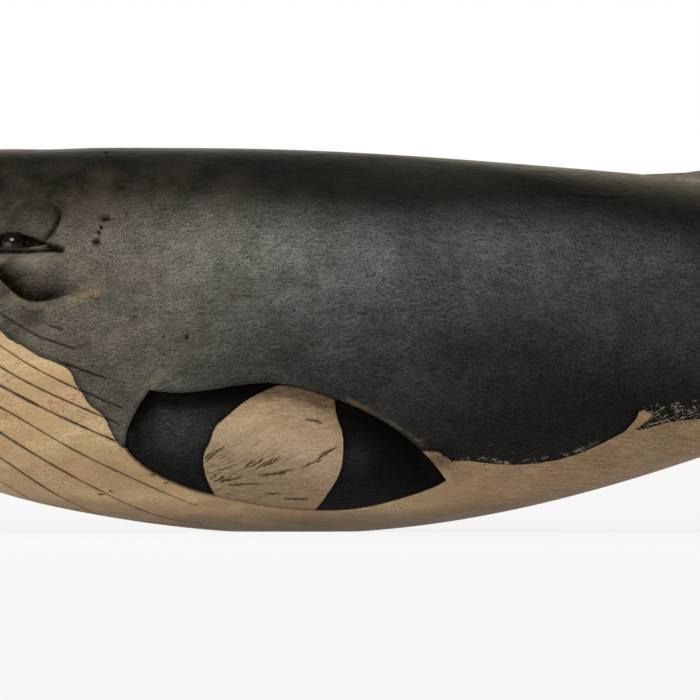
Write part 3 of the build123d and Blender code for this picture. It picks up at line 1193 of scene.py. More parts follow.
@dataclass(frozen=True)
class PaintedWood:
    """Thin black paint brushed over pale wood, bare where the paint's edge leaves it.

    It reads the mesh's attributes: flow, the place along and round the piece in millimetres; paint, the
    distance into the paint; and shares for the rest. Some shares carry painted light: a painted highlight
    with the polish and dust, and painted shade with the stain and the redness.
    """

    name: str = "body_painted_wood"
    wood_light: Colour = (0.56, 0.413, 0.248, 1.0)
    wood_dark: Colour = (0.33, 0.225, 0.122, 1.0)
    wood_warm: Colour = (0.43, 0.285, 0.168, 1.0)
    wood_ruddy: Colour = (0.305, 0.190, 0.102, 1.0)
    speck: Colour = (0.13, 0.075, 0.036, 1.0)
    grime_and_painted_shade: Colour = (0.20, 0.150, 0.088, 1.0)
    scar: Colour = (0.072, 0.041, 0.021, 1.0)
    stain_and_painted_shade: Colour = (0.0045, 0.0033, 0.0025, 1.0)
    black: Colour = (0.0054, 0.0055, 0.0054, 1.0)
    grey: Colour = (0.026, 0.0257, 0.0232, 1.0)
    slate: Colour = (0.0205, 0.0222, 0.0222, 1.0)
    brown: Colour = (0.040, 0.0328, 0.0228, 1.0)
    fleck: Colour = (0.058, 0.053, 0.044, 1.0)
    rubbed: Colour = (0.140, 0.084, 0.036, 1.0)
    olive: Colour = (0.10, 0.080, 0.040, 1.0)
    chalky: Colour = (0.42, 0.345, 0.245, 1.0)
    dust_and_painted_highlight: Colour = (0.33, 0.290, 0.218, 1.0)
    glaze: Colour = (1.0, 0.90, 0.74, 1.0)
    edge_width: float = 0.12
    wood_roughness: float = 0.5
    wood_shine: float = 0.1
    relief: float = 0.0009

    def build(self) -> Material:
        """Make the material.

        Returns:
            The material.
        """
        g = Graph(bpy.data.materials.new(self.name))
        flow = g.attribute("flow", "Vector")
        drawn = g.warped(flow, 34.0, 5.0)
        wood, wood_height = self._wood(g, flow)
        strokes = self._brushed(g, drawn, 0.12, 0.95)
        tooth = g.mix(0.5, g.grain(drawn, 1.25, 4.0, 0.68), self._brushed(g, drawn, 0.34, 1.5))
        pores = g.between(g.grain(flow, 1.5, 1.5, 0.5), 0.61, 0.68)
        fringe = g.between(g.attribute("paint"), 0.2, 2.6, 0.45, 1.0)
        paint = g.blend(self._skips(g, flow), self._paint(g, flow, strokes, tooth, fringe), self.chalky)
        cover = self._cover(g, drawn)
        # Stain and painted shade darken colour and shine: knife lines, and painted shade in folds, slits,
        # hollows and under lips
        dark = g.times(g.attribute("stain_and_painted_shade"), g.between(g.grain(flow, 0.35), 0.25, 0.6, 0.8, 1.0))
        shine = g.times(self._shine(g, flow, tooth), g.less(1.0, pores), fringe)
        height = g.less(g.plus(g.times(strokes, 0.42), tooth), g.times(pores, 0.35))
        g.show(
            Base_Color=g.blend(dark, g.blend(cover, wood, paint), self.stain_and_painted_shade),
            Roughness=g.mix(cover, self.wood_roughness, g.between(strokes, 0.3, 0.7, 0.46, 0.36)),
            Specular_Tint=g.blend(g.attribute("warm"), WHITE, self.glaze),
            Specular_IOR_Level=g.times(g.mix(cover, self.wood_shine, shine), g.less(1.0, dark)),
        )
        g.bump(g.mix(cover, wood_height, height), 1.0, self.relief)
        return g.owner

    def _cover(self, g: Graph, drawn: Socket) -> Socket:
        """Where paint covers the wood, with stray bristle marks at its edge.

        Args:
            g: The material's nodes.
            drawn: Place along and round the piece, pushed about.

        Returns:
            1 under paint and 0 on bare wood.
        """
        bristles = g.grain(g.stretch(drawn, (0.30, 1.9, 1.0), -52.0), 1.0, 3.0, 0.6)
        stray = g.times(g.less(bristles, 0.5), g.attribute("ragged"), 5.0)
        return g.between(g.plus(g.attribute("paint"), stray), -self.edge_width, self.edge_width)

    @staticmethod
    def _shine(g: Graph, flow: Socket, tooth: Socket) -> Socket:
        """How much the paint shines: by its polish and painted highlight, and unevenly from patch to patch.

        Args:
            g: The material's nodes.
            flow: Place along and round the piece.
            tooth: Fine roughness of the paint.

        Returns:
            A share.
        """
        broad = g.between(g.grain(flow, 0.05, 3.0), 0.3, 0.7, 0.72, 1.12)
        small = g.between(g.grain(flow, 0.17, 4.0, 0.68), 0.36, 0.64, 0.87, 1.12)
        finest = g.between(tooth, 0.36, 0.64, 0.55, 1.4)
        return g.times(broad, small, finest, g.attribute("polish_and_painted_light"))

    def _wood(self, g: Graph, flow: Socket) -> tuple[Socket, Socket]:
        """Bare wood: broad bands, fine grain along the body, scattered specks, some grime and knife scars.

        Args:
            g: The material's nodes.
            flow: Place along and round the piece.

        Returns:
            The colour and the height.
        """
        bent = g.warped(flow, 60.0, 9.0)
        bands = g.grain(g.stretch(bent, (0.014, 0.10, 1.0)), 1.0, 4.0, 0.6)
        sunned = g.grain(g.stretch(bent, (0.02, 0.05, 1.0)), 1.0, 3.0)
        fine = g.grain(g.stretch(bent, (0.09, 1.3, 1.0)), 1.0, 4.0, 0.65)
        mottle = g.grain(flow, 0.9, 4.0, 0.7)
        colour = g.blend(g.between(bands, 0.33, 0.70), self.wood_light, self.wood_dark)
        colour = g.blend(g.between(sunned, 0.4, 0.62), colour, self.wood_warm)
        colour = g.blend(g.between(fine, 0.40, 0.75, 0.0, 0.65), colour, self.wood_dark)
        colour = g.blend(g.between(mottle, 0.40, 0.68, 0.0, 0.85), colour, self.wood_dark)
        colour = self._ruddy(g, flow, bent, colour)
        specks = g.grain(g.stretch(bent, (0.8, 2.0, 1.0), 4.0), 1.0, 2.0, 0.5)
        specked = g.between(g.grain(flow, 0.05, 2.0), 0.45, 0.7, 0.25, 1.0)
        specks = g.times(g.between(specks, 0.61, 0.69, 0.0, 0.85), specked)
        colour = g.blend(specks, colour, self.speck)
        soiled = g.grain(flow, 0.04, 4.0, 0.65)
        colour = g.blend(g.between(soiled, 0.46, 0.74, 0.0, 0.5), colour, self.grime_and_painted_shade)
        scraped = g.grain(g.stretch(bent, (0.12, 2.0, 1.0), 32.0), 1.0, 2.0, 0.5)
        scraped = g.times(g.between(scraped, 0.60, 0.66, 0.0, 0.7), g.attribute("scrape"))
        cut = g.times(g.attribute("knife"), g.between(g.grain(flow, 0.8, 2.0), 0.3, 0.55, 0.55, 1.0))
        cut = g.most(cut, scraped)
        height = g.times(g.plus(fine, mottle), 0.24)
        return g.blend(cut, colour, self.scar), g.less(height, g.plus(g.times(specks, 0.5), cut))

    def _ruddy(self, g: Graph, flow: Socket, bent: Socket, colour: Socket) -> Socket:
        """Redden the wood where the mesh says so: the rear belly's own redder wood, and painted shade on the
        flippers; with blotches, streaks and a mealy bloom.

        Args:
            g: The material's nodes.
            flow: Place along and round the piece.
            bent: The same place, pushed about.
            colour: The wood's colour.

        Returns:
            The colour.
        """
        where = g.attribute("ruddy_and_painted_shade")
        streaky = g.grain(g.stretch(bent, (0.16, 0.9, 1.0), 3.0), 1.0, 4.0, 0.75)
        for share, over in (
            (g.between(g.grain(flow, 0.05, 4.0, 0.65), 0.3, 0.6, 0.35, 0.9), self.wood_ruddy),
            (g.between(g.grain(flow, 0.42, 3.0, 0.6), 0.50, 0.68, 0.0, 0.35), self.speck),
            (g.between(streaky, 0.40, 0.64, 0.0, 0.85), self.speck),
            (g.between(g.grain(flow, 1.1, 3.0, 0.7), 0.42, 0.62, 0.24, 0.0), self.wood_light),
        ):
            colour = g.blend(g.times(where, share), colour, over)
        return colour

    @staticmethod
    def _brushed(g: Graph, drawn: Socket, fine: float, cross: float) -> Socket:
        """Marks of a brush, most along the body and some across, in patches.

        Args:
            g: The material's nodes.
            drawn: Place along and round the piece, pushed about.
            fine: Marks to a millimetre along the stroke.
            cross: Marks to a millimetre across it.

        Returns:
            Their height, 0 to 1.
        """
        along, across, back = (
            g.grain(g.stretch(drawn, (fine, cross, 1.0), turn), 1.0, 4.0, 0.6) for turn in (2.0, 21.0, -24.0)
        )
        first = g.between(g.grain(drawn, 0.05, 2.0), 0.42, 0.6)
        second = g.between(g.grain(drawn, 0.07, 2.0), 0.52, 0.66)
        return g.mix(second, g.mix(first, along, across), back)

    @staticmethod
    def _skips(g: Graph, flow: Socket) -> Socket:
        """Bare strokes that cross each other where the brush skipped.

        Args:
            g: The material's nodes.
            flow: Place along and round the piece.

        Returns:
            1 where the wood is bare.
        """
        bent = g.warped(flow, 10.0, 4.0)
        patchy = g.between(g.grain(flow, 0.3, 3.0, 0.6), 0.35, 0.65, 0.3, 1.3)
        where = g.between(g.times(g.attribute("chips"), patchy), 0.3, 0.5)
        one = g.between(g.grain(g.stretch(bent, (0.20, 3.4, 1.0), 34.0), 1.0, 2.0), 0.60, 0.63)
        two = g.between(g.grain(g.stretch(bent, (0.26, 3.4, 1.0), -30.0), 1.0, 2.0), 0.63, 0.66)
        return g.times(g.most(one, two), where)

    def _paint(self, g: Graph, flow: Socket, strokes: Socket, tooth: Socket, fringe: Socket) -> Socket:
        """Paint: black in the hollows of its strokes, greyer on them, brown where thin, rubbed on the edges,
        lighter under painted highlight.

        Args:
            g: The material's nodes.
            flow: Place along and round the piece.
            strokes: Height of the brush strokes.
            tooth: Fine roughness of the paint.
            fringe: 1 but for the thick dark paint by its edge.

        Returns:
            The colour.
        """
        polish_and_painted_light = g.attribute("polish_and_painted_light")
        # The last factor is painted light: the colour is lighter under the painted highlight and darker in
        # the painted shade low down
        lift = g.times(
            g.between(g.plus(strokes, tooth), 0.84, 1.16),
            g.between(g.grain(flow, 0.03, 3.0, 0.55), 0.3, 0.7, 0.45, 1.15),
            g.between(g.grain(flow, 0.17, 4.0, 0.68), 0.36, 0.64, 0.86, 1.1),
            g.between(polish_and_painted_light, 0.0, 0.8, 0.14, 1.0),
        )
        tint = g.grain(g.warped(flow, 20.0, 12.0), 0.022, 3.0)
        ground = g.blend(g.between(tint, 0.36, 0.62), self.slate, self.grey)
        colour = g.blend(g.times(lift, fringe), self.black, ground)
        specks = g.grain(g.stretch(flow, (1.3, 2.4, 1.0), 6.0), 1.0, 3.0, 0.75)
        specks = g.plus(g.between(tooth, 0.50, 0.61, 0.0, 0.5), g.between(specks, 0.52, 0.66, 0.0, 1.6))
        flecked = g.times(specks, g.between(polish_and_painted_light, 0.0, 0.7, 0.17, 0.12), fringe)
        colour = g.blend(flecked, colour, self.fleck)
        thinned = g.between(g.grain(flow, 0.06, 4.0, 0.6), 0.36, 0.62, 0.1, 1.0)
        thin = g.times(g.attribute("warm"), thinned, fringe)
        colour = g.blend(thin, colour, self.brown)
        wear = g.attribute("wear")
        uneven = g.less(g.plus(strokes, g.grain(flow, 0.5, 4.0, 0.7)), 1.0)
        bare = g.times(g.between(g.plus(wear, g.times(uneven, 2.4)), 0.2, 1.2), wear, 0.62)
        worn = g.blend(g.between(g.grain(flow, 0.22, 2.0), 0.4, 0.6), self.olive, self.rubbed)
        film = g.times(g.attribute("dust_and_painted_highlight"), g.between(strokes, 0.3, 0.65, 0.45, 1.0))
        return g.blend(film, g.blend(bare, colour, worn), self.dust_and_painted_highlight)


@dataclass(frozen=True)
class FinWood(PaintedWood):
    """The same finish on the fins, with blacker paint and greyer wood."""

    name: str = "fin_painted_wood"
    wood_light: Colour = (0.50, 0.385, 0.262, 1.0)
    wood_dark: Colour = (0.32, 0.235, 0.152, 1.0)
    wood_warm: Colour = (0.41, 0.295, 0.20, 1.0)
    black: Colour = (0.003, 0.003, 0.003, 1.0)
    grey: Colour = (0.0075, 0.0075, 0.007, 1.0)
    slate: Colour = (0.006, 0.0065, 0.0065, 1.0)
    fleck: Colour = (0.016, 0.0155, 0.014, 1.0)


@dataclass(frozen=True)
class DarkGlass:
    """Dark polished glass with a brown ring about its pupil."""

    name: str = "eye_dark_glass"
    pupil: Colour = (0.004, 0.004, 0.004, 1.0)
    ring: Colour = (0.0075, 0.0052, 0.0038, 1.0)
    roughness: float = 0.09
    unevenness: float = 0.05
    shine: float = 0.20

    def build(self) -> Material:
        """Make the material.

        Returns:
            The material, which reads the mesh's pupil attribute.
        """
        g = Graph(bpy.data.materials.new(self.name))
        far = g.attribute("pupil")
        threads = g.grain(g.object_place(), 900.0, 3.0)
        ring = g.times(g.between(far, 0.32, 0.46), g.between(far, 0.98, 0.7), threads)
        g.show(
            Base_Color=g.blend(ring, self.pupil, self.ring),
            Roughness=g.between(threads, 0.2, 0.8, self.roughness, self.roughness + self.unevenness),
            Specular_IOR_Level=self.shine,
        )
        return g.owner


@dataclass(frozen=True)
class TurnedWood:
    """Plain turned wood for the dowels."""

    name: str = "dowel_turned_wood"
    light: Colour = (0.55, 0.40, 0.25, 1.0)
    dark: Colour = (0.36, 0.24, 0.13, 1.0)
    fineness: tuple[float, float, float] = (420.0, 60.0, 420.0)
    relief: float = 0.0003

    def build(self) -> Material:
        """Make the material.

        Returns:
            The material, with grain along the dowels.
        """
        g = Graph(bpy.data.materials.new(self.name))
        rings = g.grain(g.stretch(g.object_place(), self.fineness), 1.0, 3.0)
        g.show(
            Base_Color=g.blend(g.between(rings, 0.35, 0.7), self.light, self.dark),
            Roughness=g.between(rings, 0.3, 0.7, 0.55, 0.68),
        )
        g.bump(rings, 0.3, self.relief)
        return g.owner


def hand_over(name: str, mesh: Mesh, material: Material, slot: Slot, *nodes: str) -> None:
    """Place a finished mesh in the scene as a piece that stands for CAD nodes.

    Args:
        name: The piece's name.
        mesh: Its mesh, in metres.
        material: Its material.
        slot: The slot for its finish; not used.
        *nodes: CAD nodes that it stands for.
    """
    mesh.materials.append(material)
    piece = bpy.data.objects.new(name, mesh)
    bpy.context.scene.collection.objects.link(piece)
    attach(piece, BODY)
    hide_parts(*nodes)
    LOG.info("%s: %d faces", name, len(mesh.polygons))


def hand_over_pair(mesh: Mesh, other: str, material: Material, slot: Slot, nodes: tuple[str, str]) -> None:
    """Hand over a left piece, which has its mesh's name, and its mirror image.

    Args:
        mesh: The left piece's mesh, in metres.
        other: The right piece's name.
        material: Their material.
        slot: The slot for their finish.
        nodes: The CAD nodes that the left and the right piece stand for.
    """
    right = mesh.copy()
    right.name = other
    right.transform(Matrix.Diagonal((1.0, -1.0, 1.0, 1.0)))
    right.flip_normals()
    for name, side, node in zip((mesh.name, other), (mesh, right), nodes):
        hand_over(name, side, material, slot, node)


def sheet(along: int, around: int) -> Form:
    """Start a flat grid, one unit wide and long, from the origin.

    Args:
        along: Faces along X.
        around: Faces along Y.

    Returns:
        The grid.
    """
    form = bmesh.new()
    bmesh.ops.create_grid(form, x_segments=along, y_segments=around, size=0.5)
    bmesh.ops.translate(form, verts=form.verts, vec=(0.5, 0.5, 0.0))
    return form


def gather(form: Form) -> Array:
    """Places of all vertices, in order."""
    return np.array([vert.co for vert in form.verts])


def weld(form: Form, end: float) -> None:
    """Draw one end of a flat grid into a point.

    Args:
        form: The grid.
        end: The X at which the end lies.
    """
    side = [vert for vert in form.verts if abs(vert.co.x - end) < TINY]
    middle = sum((vert.co for vert in side), Vector()) / len(side)
    bmesh.ops.pointmerge(form, verts=side, merge_co=middle)


def join_sides(form: Form) -> None:
    """Bring a flat grid's two long sides together, which makes a tube of it.

    Args:
        form: The grid.
    """
    seam = [vert for vert in form.verts if vert.co.y < TINY or vert.co.y > 1 - TINY]
    for vert in seam:
        vert.co.y = 0.0
    bmesh.ops.remove_doubles(form, verts=seam, dist=TINY)


def move(form: Form, places: Array) -> None:
    """Put every vertex at its place, given in millimetres."""
    for vert, place in zip(form.verts, places * MM):
        vert.co = place


def halve_edges(form: Form, at: Array, fineness: Callable[[Array], Array], slack: float = 1.45) -> None:
    """Halve the edges that are too long for the carving about them.

    Args:
        form: The flat grid.
        at: Where each vertex comes to lie on the surface.
        fineness: Tells how long edges may be at given places.
        slack: How many times that length an edge may have.
    """
    form.verts.index_update()
    ends = np.array([(edge.verts[0].index, edge.verts[1].index) for edge in form.edges])
    first, last = at[ends[:, 0]], at[ends[:, 1]]
    long = np.hypot(*(last - first).T) > slack * fineness((first + last) / 2)
    chosen = [edge for edge, pick in zip(form.edges, long) if pick]
    bmesh.ops.subdivide_edges(form, edges=chosen, cuts=1, use_grid_fill=True)


def close_rim(form: Form) -> None:
    """Smooth the skin, close every open rim with flat faces and turn all faces outwards.

    Args:
        form: The open form.
    """
    for face in form.faces:
        face.smooth = True
    rim = [edge for edge in form.edges if edge.is_boundary]
    for edge in rim:
        edge.smooth = False
    flat = bmesh.ops.holes_fill(form, edges=rim, sides=0)["faces"]
    bmesh.ops.triangulate(form, faces=flat)
    bmesh.ops.recalc_face_normals(form, faces=form.faces)


def finish_mesh(form: Form, name: str, looks: dict[str, Array]) -> Mesh:
    """Turn a form into a mesh that holds what its finish reads.

    Args:
        form: The form, which is used up.
        name: The mesh's name.
        looks: One value, or one row of three, for each vertex, by the attribute's name.

    Returns:
        The mesh.
    """
    mesh = bpy.data.meshes.new(name)
    form.to_mesh(mesh)
    form.free()
    for key, values in looks.items():
        kind, field = ("FLOAT_VECTOR", "vector") if values.ndim == 2 else ("FLOAT", "value")
        numbers = np.ascontiguousarray(values, np.float32).ravel()
        mesh.attributes.new(key, kind, "POINT").data.foreach_set(field, numbers)
    return mesh


def painted_over(count: int, warm: float) -> dict[str, Array]:
    """What the finish reads at each vertex of a piece that is painted all over, with thin paint so warm."""
    shares = {"paint": 9.0, "ragged": 0.1, "polish_and_painted_light": 0.35, "warm": warm}
    return {name: np.full(count, share) for name, share in shares.items()}


@dataclass
class BodyHalves:
    """The two halves of the body, with all that is carved into them."""

    hull: Hull
    carving: Carving
    along: int = 190
    around: int = 72
    seam_crowding: float = 0.5
    levels: int = 5

    def build(self, material: Material) -> None:
        """Model the left half and hand it over with its mirror image.

        Args:
            material: The body's finish.
        """
        form = sheet(self.along, self.around)
        weld(form, 0.0)
        weld(form, 1.0)
        for _ in range(self.levels):
            halve_edges(form, self._spread(*self._read(gather(form))), self.carving.fineness)
        x, q = self._read(gather(form))
        skin = self.carving.carve(self._spread(x, q))
        places = self.hull.surface(x, q) + self.hull.outward(x, q) * skin.relief[:, None]
        seam = (q < TINY) | (q > KEEL - TINY) | (x < TINY - self.hull.snout) | (x > self.hull.end - TINY)
        places[seam, 1] = 0.0
        places[:, 1] = np.minimum(places[:, 1], 0.0)
        places[:, 2] = np.maximum(places[:, 2], 0.0)
        move(form, places)
        close_rim(form)
        mesh = finish_mesh(form, "body_left", BodyPaint(self.carving).dress(skin))
        hand_over_pair(mesh, "body_right", material, Slot.BODY, ("body_left_half", "body_right_half"))

    def _read(self, flat: Array) -> tuple[Array, Array]:
        """Places along and down the hull for places on the flat grid.

        Args:
            flat: Places on the grid.

        Returns:
            X along the body and q down its sections, which lie closer by the seam.
        """
        turn = 2 * np.pi * flat[:, 1]
        q = KEEL * (turn - self.seam_crowding * np.sin(turn)) / (2 * np.pi)
        return self.hull.place(flat[:, 0]), q

    def _spread(self, x: Array, q: Array) -> Array:
        """X and girth for places along and down the hull."""
        return np.column_stack([x, self.hull.girth(x, q)])


@dataclass
class Flippers:
    """The two flippers: crowned leaves, sunk under the lip of their pockets and flush along the belly.

    A leaf's grid runs from its middle out to its edge, and its last share down the wall in the pocket.
    """

    hull: Hull
    leaf: Leaf
    rings: int = 70
    around: int = 420
    levels: int = 3
    middle: tuple[float, float] = (0.46, 0.52)
    face_share: float = 0.9
    edge_crowding: float = 1.6
    finest: float = 0.24
    gap: float = 0.22
    sunk: float = 5.6
    crown: float = 3.4
    wall: float = 5.0
    flow_shift: tuple[float, float] = (400.0, 90.0)
    band_front: Points = (
        (2.0, 56.5), (-5.7, 53.8), (-11.7, 51.3), (-18.9, 47.1), (-24.9, 42.4), (-27.7, 40.0), (-29.7, 35.0),
        (-31.8, 30.7), (-32.2, 25.5), (-30.8, 19.5), (-28.1, 13.5), (-25.0, 8.0),
    )
    band_rear: Points = (
        (16.6, 52.0), (17.0, 48.0), (18.0, 41.6), (19.5, 37.5), (19.9, 33.0), (19.7, 29.2), (18.8, 24.4),
        (16.5, 19.1), (10.9, 10.1), (6.0, 4.0),
    )
    scar_depth: float = 0.35
    scars: tuple[tuple[Points, float], ...] = (
        (((-32.0, 26.4), (-27.8, 30.4), (-23.1, 34.0)), 0.26),
        (((-32.2, 28.1), (-27.3, 31.9)), 0.22),
        (((-16.9, 25.2), (-12.3, 28.5)), 0.22),
        (((-15.2, 24.8), (-8.9, 29.4)), 0.26),
        (((-13.1, 24.3), (-7.6, 28.1)), 0.24),
        (((-10.6, 24.8), (-5.1, 29.6)), 0.26),
        (((-8.5, 25.6), (-3.0, 30.2)), 0.22),
        (((-13.1, 22.2), (-4.7, 22.9), (3.6, 25.2)), 0.42),
        (((3.0, 25.0), (8.7, 27.3), (14.5, 28.9)), 0.22),
        (((-30.2, 19.7), (-26.9, 22.2)), 0.36),
        (((-28.3, 19.1), (-23.6, 21.8)), 0.36),
        (((-26.5, 18.6), (-20.6, 21.4)), 0.40),
        (((-24.0, 19.3), (-16.9, 21.6)), 0.28),
        (((-25.6, 17.9), (-17.0, 18.2), (-8.9, 18.9)), 0.22),
        (((-3.0, 12.6), (3.6, 12.4), (8.8, 13.0)), 0.40),
        (((-9.7, 14.3), (-2.2, 14.9)), 0.26),
        (((7.8, 27.1), (14.0, 30.4), (19.5, 34.0)), 0.20),
        (((10.3, 29.6), (18.7, 33.1)), 0.18),
        (((5.4, 42.3), (10.0, 41.6), (13.7, 39.8)), 0.22),
    )

    def build(self, material: Material) -> None:
        """Model the left flipper and hand it over with its mirror image.

        Args:
            material: The flippers' finish.
        """
        form = sheet(self.rings, self.around)
        for _ in range(self.levels):
            halve_edges(form, self._side_view(gather(form)), self._fineness)
        weld(form, 0.0)
        join_sides(form)
        flat = gather(form)
        depth = np.clip((flat[:, 0] - self.face_share) / (1 - self.face_share), 0.0, 1.0) * self.wall
        side = self._side_view(flat)
        x, q = side[:, 0], self.hull.down(*side.T)
        at = np.column_stack([x, self.hull.girth(x, q)])
        scarred = self._scarred(side)
        relief = self._relief(side, at) - self.scar_depth * scarred - depth
        move(form, self.hull.surface(x, q) + self.hull.outward(x, q) * relief[:, None])
        close_rim(form)
        mesh = finish_mesh(form, "flipper_left", self._dress(side, at, scarred))
        hand_over_pair(mesh, "flipper_right", material, Slot.FIN, ("left_flipper", "right_flipper"))

    def _side_view(self, flat: Array) -> Array:
        """X and Z for places on the flat grid.

        Args:
            flat: Places on the grid.

        Returns:
            X and Z of each.
        """
        leaf = self.leaf
        middle = np.array([leaf.front, leaf.bottom]) + np.array(self.middle) * (leaf.length, leaf.height)
        ring = leaf.ring(flat[:, 1]) - middle
        ring *= (1 - self.gap / np.hypot(*ring.T))[:, None]
        out = 1 - (1 - np.minimum(flat[:, 0] / self.face_share, 1.0)) ** self.edge_crowding
        return middle + ring * out[:, None]

    def _fineness(self, side: Array) -> Array:
        """How long the mesh's edges may be: short by the scars."""
        gaps = [gap_to(side, points) - wide for points, wide in self.scars]
        return self.finest + 0.5 * np.clip(np.min(gaps, axis=0), 0.0, None)

    def _scarred(self, side: Array) -> Array:
        """How deep the knife's scars are.

        Args:
            side: X and Z of every place.

        Returns:
            Shares of their full depth.
        """
        scarred = np.zeros(len(side))
        shaken = side + 0.45 * np.column_stack([rough(side, 2.2, 5.5), rough(side, 1.3, 8.1)])
        for points, wide in self.scars:
            gap, share = line_distance(shaken, points)
            scarred = np.maximum(scarred, bell(gap, wide) * taper(share, 0.25, 0.4))
        return scarred * (1 + 0.7 * rough(side, 1.2, 2.2))

    def _relief(self, side: Array, at: Array) -> Array:
        """How far the leaf's face stands out from the hull, before it is scarred.

        Args:
            side: X and Z of every place.
            at: X and girth of every place.

        Returns:
            One height for each place.
        """
        leaf = self.leaf
        upper = np.vstack([leaf.edge(leaf.nose, 60), leaf.edge(leaf.upper, 160)])
        from_lip = gap_to(side, upper, leaf.length)
        from_belly = gap_to(side, leaf.edge(leaf.lower, 160), leaf.length)
        edge = np.minimum(from_lip, from_belly)
        clear = smooth_step(0.0, 16.0, from_lip + from_belly) * smooth_step(0.0, 8.0, from_belly)
        sunk = 0.15 + self.sunk * bell(from_lip, 10.0) * clear
        crown = self.crown * (1 - bell(from_belly, 15.0)) * (1 - bell(from_lip, 12.0))
        round_over = 0.5 * bell(edge, 0.8)
        uneven = 0.22 * rough(at, 22.0, 3.3) + 0.09 * rough(at, 8.0, 6.1)
        return crown - sunk - round_over + uneven * smooth_step(0.0, 3.0, edge)

    def _dress(self, side: Array, at: Array, scarred: Array) -> dict[str, Array]:
        """Work out what the finish reads.

        Args:
            side: X and Z of every place.
            at: X and girth of every place.
            scarred: Shares of the scars' full depth.

        Returns:
            One value for each place, by the attribute's name.
        """
        leaf = self.leaf
        front, rear = drawn_line(self.band_front, 60), drawn_line(self.band_rear, 60)
        bare = inside(side, np.vstack([front, rear[::-1]]))
        edge = np.minimum(gap_to(side, front), gap_to(side, rear))
        upper = leaf.edge(leaf.upper, 120)
        rim = gap_to(side, np.vstack([upper, leaf.edge(leaf.lower, 120)]))
        deep = gap_to(side, upper, 60.0)
        # Painted shade: a painted shadow strip under the lip, shade fading down from it, and a darker lower
        # band
        grime_and_painted_shade = np.maximum(0.44 * bell(deep, 13.0), 0.18 * smooth_step(22.0, 40.0, deep))
        grime_and_painted_shade = np.maximum(grime_and_painted_shade, 0.95 * np.exp(-((deep / 1.6) ** 4)))
        # Painted highlights on the leaf's crest, by the nose and by the tip
        nose_painted_highlight = 0.31 * oval(side, (-42.0, 38.0), (15.0, 10.0))
        tip_painted_highlight = 0.17 * oval(side, (25.0, 29.0), (6.0, 5.0))
        forward = smooth_step(14.0, -10.0, side[:, 0] - 0.5 * (side[:, 1] - 30.0))
        return {
            "flow": np.column_stack([at + self.flow_shift, np.zeros(len(at))]),
            "paint": np.where(bare, -edge, edge),
            "ragged": np.full(len(at), 0.10),
            # Painted shadow along the leaf's edges, with the painted shade from the lip
            "stain_and_painted_shade": np.maximum(0.85 * bell(rim, 0.6), grime_and_painted_shade),
            "wear": 0.12 * bell(rim, 1.5),
            # On the flipper this reddening is painted shade: under the lip and over the band's lower part
            "ruddy_and_painted_shade": np.maximum(0.95 * bell(deep, 13.0), 0.5 * smooth_step(20.0, 38.0, deep)),
            "polish_and_painted_light": 0.03 + nose_painted_highlight + tip_painted_highlight,
            "scrape": smooth_step(16.0, 28.0, deep) * forward,
            "knife": np.clip(1.2 * scarred, 0.0, 1.0),
        }


